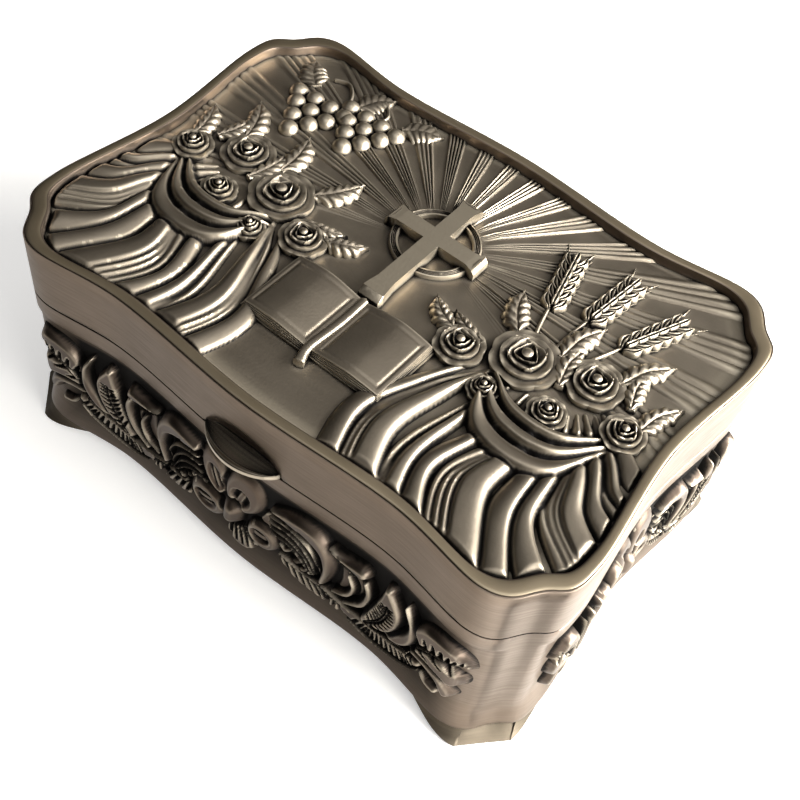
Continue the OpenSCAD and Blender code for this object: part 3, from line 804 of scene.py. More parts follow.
def frond(bm, spine, widths, crown, ribs=(1,), *, blunt, teeth=0, cut=0.5, steps=44, base=0,
          swell=(1, 1)):
    """A raised shape along spine. ribs are relative rib widths, from its right to its left.

    blunt is the share of its length that rounds off each end. teeth are cuts that slant back
    from the midrib, and cut is how deep teeth and grooves go.
    """
    spine = [Vector(p) for p in spine]
    total = sum(ribs)
    starts = [sum(ribs[:i]) / total for i in range(len(ribs))]
    rows = max(8, 7 * len(ribs))

    def shape(u, v):
        way = on_line(spine, u + 0.012) - on_line(spine, u - 0.012)
        side = Vector((-way.y, way.x)).normalized()
        s = 2 * v - 1
        rounding = min(1, u / blunt, (1 - u) / blunt)
        half = blend(widths, u) * math.sqrt(max(0, 1 - (1 - rounding) ** 2))
        rib = bisect_right(starts, v) - 1
        within = (v - starts[rib]) / (ribs[rib] / total)
        groove = math.sin(math.pi * held(within)) ** 0.7 if len(ribs) > 1 else 1
        form = 1 - cut * (1 - groove)
        if teeth:
            tooth = abs(math.sin(math.pi * (teeth * u - LEAF_SLANT * abs(s)))) ** 0.6
            from_rib = held((abs(s) - MIDRIB) / 0.16)
            form *= 1 - cut * (1 - tooth) * from_rib
            half *= 1 - LEAF_RAGGED * (1 - tooth)
        dome = max(0, 1 - abs(s) ** 2.6) ** 0.55
        ends = 0.35 + 0.65 * math.sin(math.pi * min(1, rounding) / 2)
        spot = on_line(spine, u) + side * half * s
        return spot.x, spot.y, base + crown * blend(swell, u) * dome * form * ends

    island(bm, steps, rows, shape)


# %% [markdown]
# ## Open book
#
# Low on the plaque lies an open book with blank pages. Each half is a sheet that rises from
# the gutter to a soft crest and falls to the fore edge. Four sheets of shrinking size are
# stacked, so that the edges show as the leaves of a thick book, on a cover a little larger.

# %% Book and ribbon
BOOK_W = 29
BOOK_L = 15
BOOK_BOTTOM = GLORY.y - CROSS_ARMS[(0, -1)] - BOOK_L
COVER_RISE = 0.55
PAGE_RISE = 2.4
# inset and rise of the three sheets under the open pages
PAGE_SHEETS = ((0.35, 1.3), (0.5, 1.65), (0.65, 2.0))
bm = bmesh.new()


def page_height(x, top):
    """Height of the pages at x, from 0 in the gutter to 1 at the fore edge."""
    return top * (0.52 + 0.48 * math.sin(math.pi * min(1, x / 0.62) / 2) ** 1.2
                  - 0.3 * max(0, (x - 0.55) / 0.45) ** 1.6)


def book_half(side, inset, top, ruled=False):
    """Shape of one side's sheet of pages. A ruled one has a line round its margin."""
    def shape(u, v):
        across = 0.02 + 0.98 * u
        x = side * across * (BOOK_W / 2 - inset)
        y = BOOK_BOTTOM + inset + v * (BOOK_L - 2 * inset)
        y += 0.35 * math.sin(math.pi * across) * (v - 0.5)
        margin = min(across - 0.13, 0.93 - across, v - 0.09, 0.91 - v)
        frame_line = 0.16 * math.exp(-(margin / 0.02) ** 2) if ruled else 0
        return x, y, page_height(across, top) - frame_line

    return shape


for side in (-1, 1):
    island(bm, 12, 8, lambda u, v: (side * u * BOOK_W / 2, BOOK_BOTTOM + v * BOOK_L, COVER_RISE))
    for inset, top in PAGE_SHEETS:
        island(bm, 30, 6, book_half(side, inset, top))
    island(bm, 90, 60, book_half(side, 0.8, PAGE_RISE, ruled=True))
frond(bm, [(0, -8.3), (0.15, -15), (-0.2, -22.6), (0.6, -25.5)], (0.75, 0.75, 0.75, 0.75, 0.9),
      0.35, base=1.45, swell=(1, 1, 1, 1), blunt=0.02)
lay_on_plaque(bm, "plaque_book")

# %% [markdown]
# ## Carving in wax
#
# A pattern maker carves cloth and leaves in wax: broad forms are raised first, and then a
# pointed tool cuts the dark lines. The relief here is a sheet of heights that is worked in
# the same order. A stroke follows a curved spine, and a search tree of marks along it tells
# each point of the sheet how far inside the stroke it lies. Points that lie lower than those
# around them carry soot, an attribute that the pewter reads as black film.

# %% A sheet of wax
WAX_FLOOR = -0.4
SOOT_BLUR = 4
SOOT_FULL = 0.17


class Wax:
    """A sheet of heights over a rectangle."""

    def __init__(self, left, right, low_edge, top_edge, pitch):
        self.left, self.low, self.pitch = left, low_edge, pitch
        self.columns = round((right - left) / pitch)
        self.rows = round((top_edge - low_edge) / pitch)
        self.lines = [[WAX_FLOOR] * (self.columns + 1) for row in range(self.rows + 1)]

    def spot(self, column, row):
        """Place of a point of the sheet."""
        return self.left + column * self.pitch, self.low + row * self.pitch

    def softened(self, share):
        """Heights after a pass of a soft brush."""
        new = [line[:] for line in self.lines]
        for r in range(1, self.rows):
            for c in range(1, self.columns):
                beside = (self.lines[r][c - 1] + self.lines[r][c + 1]
                          + self.lines[r - 1][c] + self.lines[r + 1][c])
                new[r][c] = (1 - share) * self.lines[r][c] + share / 4 * beside
        return new

    def soot(self):
        """How far each point lies below its neighbourhood: where the black film stays."""
        sums = [[0.0] * (self.columns + 2)]
        for line in self.lines:
            row = [0.0]
            for c, height in enumerate(line):
                row.append(row[-1] + max(0, height) + sums[-1][c + 1] - sums[-1][c])
            sums.append(row)
        deep = []
        for r, line in enumerate(self.lines):
            r0, r1 = max(0, r - SOOT_BLUR), min(self.rows, r + SOOT_BLUR) + 1
            new = []
            for c, height in enumerate(line):
                c0, c1 = max(0, c - SOOT_BLUR), min(self.columns, c + SOOT_BLUR) + 1
                total = sums[r1][c1] - sums[r0][c1] - sums[r1][c0] + sums[r0][c0]
                new.append(total / ((r1 - r0) * (c1 - c0)) - max(0, height))
            deep.append(new)
        return deep

    def mesh(self):
        """A closed shell of the parts that stand above the floor, with their soot."""
        bm = bmesh.new()
        soot = self.soot()
        layer = bm.verts.layers.float.new("soot")
        made = bmesh.ops.create_grid(bm, x_segments=self.columns, y_segments=self.rows,
                                     size=1)["verts"]
        for vert in made:
            c = round((vert.co.x + 1) / 2 * self.columns)
            r = round((vert.co.y + 1) / 2 * self.rows)
            vert.co = (*self.spot(c, r), self.lines[r][c])
            vert[layer] = held(soot[r][c] / SOOT_FULL)
        hidden = [f for f in bm.faces if max(v.co.z for v in f.verts) < WAX_FLOOR + 0.05]
        bmesh.ops.delete(bm, geom=hidden, context="FACES")
        shell = bmesh.ops.extrude_face_region(bm, geom=bm.faces[:], use_keep_orig=True)["geom"]
        set_height(shell, WAX_FLOOR - 0.2)
        return bm


# %% Strokes along a spine
STROKE_MARKS = 70


def on_curve(values, t):
    """Smooth value at t on a row of evenly spaced values, without pausing at each."""
    return on_line([Vector((i, value)) for i, value in enumerate(values)], t).y


def stroke(wax, spine, widths, change, margin=0.0):
    """Works along a spine. change(old, inside, half, t, side) gives a point's new height.

    inside is the depth in from the stroke's edge, side runs from -1 (right) to 1 (left).
    """
    spine = [Vector(p) for p in spine]
    shares = [i / STROKE_MARKS for i in range(STROKE_MARKS + 1)]
    marks = [on_line(spine, t) for t in shares]
    ways = [(on_line(spine, t + 0.01) - on_line(spine, t - 0.01)).normalized() for t in shares]
    gap = sum((b - a).length for a, b in zip(marks, marks[1:])) / STROKE_MARKS
    halves = [max(0.02, on_curve(widths, t)) for t in shares]
    tree = KDTree(len(marks))
    for i, mark in enumerate(marks):
        tree.insert((mark.x, mark.y, 0), i)
    tree.balance()
    wide = max(halves) + margin
    first = max(0, int((min(m.x for m in marks) - wide - wax.left) / wax.pitch))
    last = min(wax.columns, int((max(m.x for m in marks) + wide - wax.left) / wax.pitch) + 1)
    low_row = max(0, int((min(m.y for m in marks) - wide - wax.low) / wax.pitch))
    top_row = min(wax.rows, int((max(m.y for m in marks) + wide - wax.low) / wax.pitch) + 1)
    for row in range(low_row, top_row + 1):
        line = wax.lines[row]
        for column in range(first, last + 1):
            x, y = wax.spot(column, row)
            _, i, away = tree.find((x, y, 0))
            if away > wide:
                continue
            dx, dy = x - marks[i].x, y - marks[i].y
            along = ways[i].x * dx + ways[i].y * dy
            left = ways[i].x * dy - ways[i].y * dx
            j = min(STROKE_MARKS, max(0, i + (1 if along > 0 else -1)))
            if j != i:
                away = abs(left)
            f = min(1, abs(along) / gap)
            half = halves[i] * (1 - f) + halves[j] * f
            if half + margin > away:
                side = math.copysign(min(1, away / half), left)
                t = (i * (1 - f) + j * f) / STROKE_MARKS
                line[column] = change(line[column], half - away, half, t, side)


# %% Tools for leaves, cuts and teeth
def leaf(wax, spine, widths, height, edge, tilt=0.0, swell=(1, 1), groove=0.3):
    """Raises a leaf with a rounded edge and a groove round it. tilt lifts its left side."""
    def change(old, inside, half, t, side):
        if inside <= 0:
            return old if old <= 0 else old - 0.7 * (1 + inside / groove)
        dome = math.sin(math.pi / 2 * min(1, inside / min(edge, half)))
        lift = 1 + tilt * side
        return max(old if old < 0.2 else 0.55 * old, height * on_curve(swell, t) * dome * lift)

    stroke(wax, spine, widths, change, groove)


def cut(wax, spine, widths, deep):
    """Draws a pointed tool along a spine."""
    def change(old, inside, half, t, side):
        if old <= WAX_FLOOR:
            return old
        return max(WAX_FLOOR, old - deep * min(1, inside / (0.75 * half)))

    stroke(wax, spine, widths, change)


def well(wax, spine, widths, level):
    """Sinks a flat-bottomed hollow down to a level."""
    stroke(wax, spine, widths, lambda old, inside, half, t, side:
           min(old, old + (level - old) * min(1, inside / 0.4)))


def comb(wax, spine, span_of, count, lean, long, wide, deep):
    """Cuts a row of teeth from a spine. lean is their angle from its way, in degrees."""
    spine = [Vector(p) for p in spine]
    for i in range(count):
        share = i / (count - 1)
        t = span_of[0] + (span_of[1] - span_of[0]) * share
        way = (on_line(spine, t + 0.01) - on_line(spine, t - 0.01)).normalized()
        tooth = Matrix.Rotation(math.radians(lean), 2) @ way
        start = on_line(spine, t) + 0.35 * tooth
        cut(wax, [start, start + tooth * on_curve(long, share)], (wide, wide, 0.3 * wide), deep)


# %% [markdown]
# ## Falls of cloth
#
# Cloth gathers under the roses and falls to the lower corners. Heavy cloth falls in broad
# folds that lap over each other like shingles: each one rises slowly from its neighbour to
# a rounded crest and drops there into a dark groove. Narrow pleats run beside the broad
# folds, and a swag of three loops hangs over the gathering. One side is carved, and the
# other is its mirror image.

# %% Folds of cloth
CLOTH_PITCH = 0.2
# the four points of a fold's spine, its half width at each, its height
BROAD_FOLDS = (
    (((41, 0), (47, -4), (51, -7), (54.8, -7.6)), (0.5, 1.5, 2.2, 2.4), 1.1),
    (((40, -1), (46, -7), (50, -12), (54.8, -13.4)), (0.5, 1.6, 2.2, 2.3), 1.3),
    (((39, -2), (45, -9), (49, -15.5), (54.8, -18.4)), (0.5, 1.3, 1.7, 2.0), 1.5),
    (((38, -3), (43.6, -12.6), (46.6, -20), (54.4, -25.6)), (0.5, 2.2, 3.6, 4.2), 1.9),
    (((37, -4), (41, -14), (42.6, -24.6), (51.4, -33)), (0.5, 1.4, 2.1, 2.6), 1.8),
    (((36, -4), (38.6, -15), (39.6, -26), (46.2, -37)), (0.5, 1.5, 2.3, 2.6), 1.7),
    (((33, -5), (34.4, -15), (32.6, -25), (38.6, -37)), (0.5, 2.4, 4.3, 4.6), 2.1),
    (((30, -5), (29.2, -16), (26.4, -27), (31, -37)), (0.5, 1.3, 1.9, 2.2), 1.8),
    (((27, -5), (24.6, -16), (23, -27), (25.8, -37)), (0.5, 1.6, 2.3, 2.7), 1.7),
    (((23, -5), (19.4, -14), (16.4, -25), (20, -37)), (0.5, 2.2, 3.6, 4.0), 2.0),
    (((20, -6), (15.6, -15), (11.8, -25), (14.8, -37)), (0.5, 1.3, 1.9, 2.2), 1.5))
# of each pleated fold, the first pleat's place across it and the number of pleats
PLEATS = {1: (-0.3, 2), 3: (-0.75, 3), 6: (-0.78, 3), 8: (-0.5, 2), 9: (-0.8, 3)}
SWAG = ((((23, -7.5), (28.5, -15.5), (39, -15.5), (45.5, -5)), (0.3, 1.9, 1.9, 0.3), 2.2),
        (((23, -6.5), (29, -12), (38.4, -12), (45.5, -4)), (0.3, 1.4, 1.4, 0.3), 2.3),
        (((23.5, -5), (29.5, -9.2), (38, -9), (45, -3)), (0.3, 1.2, 1.2, 0.3), 2.2))
CREST = 0.3
FOLD_LEAN = 0.6
FOLD_GROOVE = 0.4
CLOTH_BRUSHINGS = 5
EDGE_ROUND = 2.4


def fold(sheet, spine, widths, tall):
    """A fold of cloth: a slow rise to a crest on its left, and a steep drop beyond it."""
    def change(old, inside, half, t, side):
        if inside <= 0:
            return old if old <= 0 else old - 0.6 * (1 + inside / FOLD_GROOVE)
        rise = math.sin(math.pi / 2 * min(1, (side + 1) / (1 + CREST)))
        drop = max(0, side - CREST) / (1 - CREST)
        height = tall * on_curve((0.35, 0.92, 1, 0.96), t)
        height *= 1 - FOLD_LEAN + FOLD_LEAN * rise
        height *= math.sqrt(max(0, 1 - drop ** 2.6)) * min(1, 0.25 + inside / 0.5)
        return max(old if old < 0.2 else 0.5 * old, height)

    stroke(sheet, spine, widths, change, FOLD_GROOVE)


# %% Carve the cloth
cloth = Wax(0, 54.75, -36, 2, CLOTH_PITCH)
for i, (spine, widths, tall) in enumerate(BROAD_FOLDS):
    fold(cloth, spine, widths, tall)
    first, count = PLEATS.get(i, (0, 0))
    for pleat in range(count):
        across = first + 0.3 * pleat
        line = [Vector(p) + Vector((0.8 * w * across, 0.35 * w * across))
                for p, w in zip(spine, widths)]
        cut(cloth, line, (0.05, 0.3, 0.5, 0.2), 0.7)
for spine, widths, tall in SWAG:
    fold(cloth, spine[::-1], widths, tall)
for row in range(cloth.rows + 1):
    for column in range(cloth.columns + 1):
        spot = Vector(cloth.spot(column, row))
        angle = math.atan2(spot.y, spot.x)
        to_rim = plaque_reach(Vector((0, 0)), angle) - spot.length
        height = cloth.lines[row][column]
        rounded = 0.1 + 2.1 * math.sqrt(min(1, max(0, to_rim) / EDGE_ROUND))
        cloth.lines[row][column] = min(height, rounded) if to_rim > 0.25 else WAX_FLOOR
for brushing in range(CLOTH_BRUSHINGS):
    cloth.lines = cloth.softened(0.5)
for name, mirror in (("right", 1), ("left", -1)):
    bm = cloth.mesh()
    bmesh.ops.scale(bm, vec=(mirror, 1, 1), verts=bm.verts)
    lay_on_plaque(bm, "plaque_cloth_" + name)

# %% [markdown]
# ## Roses, leaves, grapes and wheat
#
# A cast rose is rings of petals, each ring smaller and higher than the one outside it. A
# petal is a sheet that cups upwards to a rolled lip. The leaves are toothed fronds. On the
# left hang grapes, on the right stand ears of wheat, made of many small grains.

# %% Roses and leaves
# petals in a ring, its radius and a petal's half width as shares of the rose, its height
PETAL_RINGS = ((6, 1.0, 0.62, 1.25), (5, 0.72, 0.55, 2.0), (4, 0.47, 0.44, 2.6),
               (3, 0.27, 0.3, 2.9))
BUD_HEIGHTS = (3.0, 2.95, 2.7)
# a leaf's foot, its direction in degrees, its length and width
ROSE_LEAVES = ((30, 4, 78, 11, 5), (22, 3.5, 118, 10, 5), (40, 6, 62, 11, 5), (47, 0, 70, 10, 4.4),
               (14, -3, 148, 8, 4), (33, -1, 96, 10, 4.4), (19, -2, 160, 8, 3.6),
               (44, 3, 100, 9, 4))
# a rose's middle and radius
ROSES = ((26, 0, 6), (37, 3.5, 5), (16.5, -5, 4.4), (45.5, -1.5, 3.8), (34.5, -6.5, 3.4),
         (24.5, -9.5, 2.8))


def ahead_and_left(turn):
    """Unit vectors in the direction turn, in radians, and to the left of it."""
    way = Vector((math.cos(turn), math.sin(turn)))
    return way, Vector((-way.y, way.x))


def petal(bm, centre, turn, inner, outer, half, top):
    """A cupped petal from radius inner to outer, whose lip stands at height top."""
    way, side = ahead_and_left(turn)

    def shape(u, v):
        s = 2 * u - 1
        broad = half * (0.35 + 0.65 * math.sin(math.pi * (0.12 + 0.6 * v)))
        lip = outer - (outer - inner) * 0.3 * abs(s) ** 2.4
        r = inner + (lip - inner) * v
        spot = centre + way * r + side * broad * s
        cup = 0.55 + 0.45 * v ** 2 + 0.12 * abs(s) ** 3 - 0.16 * max(0, v - 0.86) / 0.14
        return spot.x, spot.y, top * cup - 0.1 * math.cos(2 * math.pi * s) * v

    island(bm, 14, 10, shape)


def bud(bm, centre, radius):
    """The closed heart of a rose: a low dome."""
    def shape(u, v):
        angle = 2 * math.pi * u
        spot = centre + Vector((math.cos(angle), math.sin(angle))) * radius * v
        return spot.x, spot.y, blend(BUD_HEIGHTS, v)

    island(bm, 16, 5, shape)


def rose(bm, x, y, r):
    """A rose of radius r: its rings of petals round a bud."""
    centre = Vector((x, y))
    for ring, (count, outer, half, top) in enumerate(PETAL_RINGS):
        for i in range(count):
            turn = 2 * math.pi * (i + 0.5 * (ring % 2)) / count + 0.3 * ring + x
            petal(bm, centre, turn, 0.12 * r, outer * r, half * r, top)
    bud(bm, centre, 0.16 * r)


def rose_leaf(bm, x, y, turn, long, wide, bow=0.8, crown=1.7):
    """A toothed leaf from (x, y), bowed to its left."""
    way, side = ahead_and_left(math.radians(turn))
    start = Vector((x, y))
    spine = [start, start + way * long * 0.5 + side * bow, start + way * long]
    frond(bm, spine, (0.2 * wide, 0.52 * wide, 0.44 * wide, 0.02), crown, (1, 1), teeth=6,
          cut=0.26, steps=60, blunt=0.02, swell=(0.8, 1, 0.6))


# %% Lay the roses
bm = bmesh.new()
for sizes in ROSE_LEAVES:
    rose_leaf(bm, *sizes)
for sizes in ROSES:
    rose(bm, *sizes)
mirrored(bm)
lay_on_plaque(bm, "plaque_roses")

# %% Grapes and wheat
GRAPE_R = 1.9
CLUSTERS = ((-37, 14), (-27, 17))
VINE_LEAVES = ((-31.5, 27, 60), (-41, 26, 130), (-22, 28, 30))
VINE_STEMS = ([(-33, 22), (-34, 28), (-37, 31), (-40, 30)], [(-27, 24), (-26, 29), (-29, 32)])
# an ear's foot and its direction in degrees
WHEAT_EARS = ((29, 13, 84), (36, 12, 68), (23, 11, 104))
bm = bmesh.new()
for x, y in CLUSTERS:
    for row in range(4):
        for i in range(row + 1):
            spot = Vector((x + (i - row / 2) * GRAPE_R * 1.9, y + row * GRAPE_R * 1.6, -0.05))
            spot += Vector((random.uniform(-0.2, 0.2), random.uniform(-0.2, 0.2), 0))
            bmesh.ops.create_uvsphere(bm, u_segments=20, v_segments=12, radius=GRAPE_R,
                                      matrix=Matrix.Translation(spot))
for x, y, turn in VINE_LEAVES:
    rose_leaf(bm, x, y, turn, 8, 6, 0.6, 1.2)
for spine in VINE_STEMS:
    frond(bm, spine, (0.45, 0.4, 0.3), 0.9, blunt=0.03)


def wheat_ear(bm, x, y, turn):
    """A stalk with pairs of grains, an awn at each and a grain between them."""
    way, side = ahead_and_left(math.radians(turn))
    foot = Vector((x, y))
    frond(bm, [foot - way * 8, foot - way * 3 + side * 0.4, foot + way * 13], (0.45, 0.4, 0.3), 0.8,
          blunt=0.03)
    for i in range(6):
        at = foot + way * (0.5 + 2.1 * i)
        for lean in (-1, 1):
            tip = at + way * 3.4 + side * lean * 1.7
            frond(bm, [at + side * lean * 0.3, at + way * 1.6 + side * lean * 1.5, tip],
                  (0.5, 0.95, 0.1), 1.5, (1, 1), cut=0.35, steps=16, blunt=0.1)
            frond(bm, [tip, tip + way * 2.6 + side * lean * 0.9], (0.16, 0.05), 0.5, steps=6,
                  blunt=0.05)
        frond(bm, [at + way * 0.8, at + way * 3.8], (0.7, 0.85, 0.1), 1.9, (1, 1), cut=0.3,
              steps=16, blunt=0.15)


for sizes in WHEAT_EARS:
    wheat_ear(bm, *sizes)
lay_on_plaque(bm, "plaque_grapes_and_wheat")

# %% [markdown]
# ## Garlands
#
# Each wall carries a cast garland: a flower in the middle, and on both sides curled
# acanthus leaves, a fern leaf, broad end leaves and a toothed scroll along the bottom. It is
# carved in wax like the cloth, drawn flat with x along the wall and y up from the table, and
# then bent onto the wall's curve.

# %% Carving the flower
def petal_ring(wax, foot, tip, wide, heights, hollow, ribs):
    """An oval petal with a ribbed hollow. heights are at its foot and at its tip.

    hollow is its middle along the petal (-1 to 1), its half length and width, and its depth.
    """
    foot, tip = Vector(foot), Vector(tip)
    middle, long = (foot + tip) / 2, (tip - foot).length / 2
    way = (tip - foot).normalized()
    for row in range(wax.rows + 1):
        for column in range(wax.columns + 1):
            away = Vector(wax.spot(column, row)) - middle
            u, v = away.dot(way) / long, (way.x * away.y - way.y * away.x) / wide
            r = math.hypot(u, v)
            old = wax.lines[row][column]
            if 1 <= r < 1.12 and old > 0:
                wax.lines[row][column] = old - 0.7 * (1.12 - r) / 0.12
            if r >= 1:
                continue
            height = heights[0] + (heights[1] - heights[0]) * (u + 1) / 2
            height *= math.sin(math.pi / 2 * min(1, (1 - r) / 0.34))
            q = math.hypot((u - hollow[0]) / hollow[1], v / hollow[2])
            if q < 1:
                rib = 1 - max(0, -math.cos(math.pi * ribs * v / hollow[2]))
                height -= hollow[3] * min(1, (1 - q) / 0.3) * (1 - 0.7 * rib * (1 - q ** 4))
            wax.lines[row][column] = max(old if old < 0.2 else 0.4 * old, height)


def carve_flower(wax):
    """Four ringed petals and a fan round a button."""
    leaf(wax, [(-0.4, 16), (0.2, 12.4), (0.6, 11)], (1.4, 3.4, 3.6), 1.5, 0.9)
    for foot in (-3.2, -1.9, -0.6, 0.8, 2.2, 3.5):
        cut(wax, [(0.4 * foot - 0.8, 15.2), (0.8 * foot, 12), (foot + 0.3, 8.9)],
            (0.2, 0.42, 0.2), 1.4)
    petal_ring(wax, (-3.4, 15.2), (-12.3, 12.2), 4.1, (1.6, 1.5), (0.05, 0.62, 0.56, 1.2), 3)
    petal_ring(wax, (1.6, 15.4), (8.9, 15.8), 3.9, (1.7, 1.6), (-0.08, 0.6, 0.52, 1.2), 2)
    petal_ring(wax, (-3.6, 18.6), (-7.6, 29.2), 3.4, (1.7, 0.9), (-0.16, 0.58, 0.56, 0.9), 3)
    petal_ring(wax, (-0.9, 18.4), (2.9, 29.8), 4.3, (1.9, 1.0), (-0.18, 0.4, 0.5, 1.1), 2)
    button = [(-1.2, 18.3), (-1.5, 16.1)]
    well(wax, button, (3.2, 3.2), -0.1)
    leaf(wax, button, (2.5, 2.5), 2.8, 2.3, groove=0.1)


# %% Carving the leaves
# a rib's spine and its half width
LARGE_LEAF_RIBS = ((((7.1, 24.4), (11.4, 24.3), (15.2, 22.2), (17, 18.6), (17.1, 15.6)), 0.42),
                   (((6.9, 22.6), (12, 22.4), (15.4, 18.9), (16.6, 14.8)), 0.4),
                   (((7, 20.9), (10.5, 20.9), (13.9, 18.8), (16.2, 14.6)), 0.36),
                   (((7.4, 19.2), (10.4, 19.3), (13, 17.6), (15.6, 14.3)), 0.3))


def carve_large_leaf(wax):
    """A leaf that curls over like a wave, with fine ribs in its hollow."""
    leaf(wax, [(6.6, 21.2), (11.6, 21.4), (15, 18), (16.6, 14.6)], (2.6, 3.6, 2.6, 0.8), 0.7, 0.8)
    for rib, half in LARGE_LEAF_RIBS:
        leaf(wax, rib, (0.3, half, half, 0.3), 1.75, 0.4, groove=0.5)
    leaf(wax, [(7, 26.4), (11.2, 27.3), (15.2, 27), (18, 24.4), (18.8, 20), (18, 14.8)],
         (0.2, 1.9, 2.5, 1.9, 1.5, 1.0), 2.2, 1.5, 0.12, (0.8, 1, 1, 1, 0.9), groove=0.5)
    cut(wax, [(13.2, 26.6), (15.6, 25), (17, 22)], (0.12, 0.3, 0.1), 1.4)
    leaf(wax, [(9.0, 17.4), (10.2, 16.5), (11.6, 17.8)], (0.4, 0.8, 0.3), 1.4, 0.7)


def carve_second_leaf(wax):
    """Two nested crescents under a turned-over tip."""
    leaf(wax, [(21.6, 15.4), (23.4, 19.2), (22.6, 22.8)], (1.2, 2.6, 2.0), 0.5, 0.8)
    leaf(wax, [(25.8, 25.4), (27.2, 21.4), (26, 16.4), (22.8, 13.4)], (0.7, 1.0, 0.9, 0.6),
         1.9, 0.8)
    leaf(wax, [(22.9, 22.3), (24, 19.4), (23, 15.9), (20.2, 14.2)], (0.4, 0.7, 0.75, 0.5), 1.7, 0.7)
    leaf(wax, [(19.0, 26.2), (21.6, 24.6), (24, 23.5)], (0.15, 0.3, 0.3), 1.8, 0.4)
    leaf(wax, [(19.0, 27.2), (22.4, 26.5), (25.2, 26.2)], (0.2, 1.2, 1.9), 2.2, 1.3, 0.15)


def carve_fern_leaf(wax):
    """An upright leaf with a toothed middle, held by an outer crescent."""
    leaf(wax, [(35, 28), (36.7, 24.4), (36.5, 20), (34.4, 16.6), (31, 14.2)],
         (0.4, 1.0, 1.5, 1.7, 0.9), 2.0, 1.2, 0.15, groove=0.5)
    leaf(wax, [(27.4, 13.4), (30.4, 17.4), (31.8, 22.6), (31, 27.6)], (1.4, 3.0, 2.9, 1.1),
         2.1, 0.9, groove=0.5)
    middle = [(27.6, 13.2), (30.2, 16.8), (31.4, 20.6), (31.6, 23.8)]
    comb(wax, middle, (0.12, 0.9), 9, 62, (2.0, 2.3, 1.3), 0.3, 1.6)
    comb(wax, middle, (0.08, 0.94), 10, -58, (1.4, 1.8, 1.1), 0.3, 1.6)
    leaf(wax, middle, (0.3, 0.36, 0.2), 2.1, 0.4, groove=0.12)


def carve_end_leaves(wax):
    """A pointed and a round leaf on one midrib, and the scroll's smooth end."""
    leaf(wax, [(37.4, 19.2), (42, 20.4), (45.6, 19.4)], (0.8, 2.2, 2.6), 1.8, 1.0, groove=0.4)
    leaf(wax, [(37.2, 22.6), (41, 26), (45, 26.6), (48.8, 24)], (1.6, 2.9, 2.4, 0.15), 2.0, 1.2,
         groove=0.3)
    midrib = [(37.2, 19.2), (41.2, 22.9), (44.8, 24.7), (48.2, 25)]
    comb(wax, midrib, (0.06, 0.84), 8, 66, (3.3, 2.4, 0.9), 0.4, 2.4)
    comb(wax, midrib, (0.12, 0.84), 6, -66, (2.2, 4.2, 2.0), 0.32, 2.0)
    leaf(wax, midrib, (0.3, 0.34, 0.3, 0.15), 2.0, 0.4, groove=0.35)
    leaf(wax, [(33.6, 15.2), (38, 17.6), (42.8, 17), (45.4, 13.9)], (0.4, 0.9, 1.3, 1.7), 1.8, 1.1,
         groove=0.5)
    leaf(wax, [(39.8, 12.7), (41.2, 11.4), (43, 11.0)], (0.3, 0.8, 0.9), 1.3, 0.8)


def carve_scroll(wax):
    """A ladder of square teeth between two rails, and the fern that leads to it."""
    stem = [(8.4, 14.6), (14, 13.3), (18.6, 12.6), (23.8, 8.9)]
    leaf(wax, [(9.2, 13.4), (14, 12), (18.8, 11), (23.6, 8.6)], (1.2, 3.2, 2.9, 0.5), 1.5, 1.1,
         groove=0.1)
    comb(wax, stem, (0.02, 0.9), 11, -55, (3.6, 4.6, 2.0), 0.36, 1.6)
    comb(wax, stem, (0.1, 0.55), 5, 38, (2.2, 2.6, 2.0), 0.3, 1.4)
    leaf(wax, stem, (0.25, 0.36, 0.3, 0.25), 1.8, 0.4, groove=0.25)
    low_rail = [(23.6, 8.2), (27.6, 7.0), (32, 7.7), (36.6, 9.9), (39.4, 12.6)]
    middle = [(23, 10.4), (27.6, 9.3), (32, 10.2), (36.4, 12.2), (38.8, 14)]
    leaf(wax, middle, (1.5, 2.0, 1.9, 1.7, 0.9), 1.3, 0.7, groove=0.3)
    comb(wax, low_rail, (0.06, 0.96), 14, 84, (2.9, 3.1, 2.1), 0.34, 1.6)
    leaf(wax, low_rail, (0.3, 0.4, 0.45, 0.4, 0.2), 1.6, 0.5, groove=0.15)
    leaf(wax, [(18, 13.3), (23, 12), (27.6, 11.9), (32.4, 13.3), (37, 15.8)],
         (0.35, 0.5, 0.55, 0.55, 0.4), 1.9, 0.5, groove=0.35)


# %% Carve the garland
WAX_PITCH = 0.2
wax = Wax(-51, 51, 5.6, 31, WAX_PITCH)
for tool in (carve_scroll, carve_large_leaf, carve_second_leaf, carve_end_leaves, carve_fern_leaf):
    tool(wax)
for line in wax.lines:
    middle = wax.columns // 2
    line[:middle] = line[:middle:-1]
carve_flower(wax)
wax.lines = wax.softened(0.4)
print("highest point of the garland:", round(max(max(line) for line in wax.lines), 2))

# %% The wall's curve
long_line = quarter(FIELD_IN, SIDE_STEPS)
short_line = [Vector((p.y, p.x)) for p in reversed(long_line)]


def wrap(bm, line, turn):
    """Bends a flat drawing onto a wall whose plan is line, then turns it about Z."""
    starts = [p.x for p in line]
    spin = Matrix.Rotation(turn, 3, "Z")
    for vert in bm.verts:
        s, z, rise = vert.co
        i = min(max(bisect_right(starts, abs(s)) - 1, 0), len(line) - 2)
        p, q = line[i], line[i + 1]
        before, after = line[max(i - 1, 0)], line[min(i + 2, len(line) - 1)]
        f = (abs(s) - p.x) / (q.x - p.x)
        lean = (after.y - before.y) / (after.x - before.x)
        out = Vector((-math.copysign(lean, s) if abs(s) > 1 else 0, 1)).normalized()
        spot = Vector((s, p.y + (q.y - p.y) * f)) + out * rise
        vert.co = spin @ Vector((spot.x, -spot.y, z))


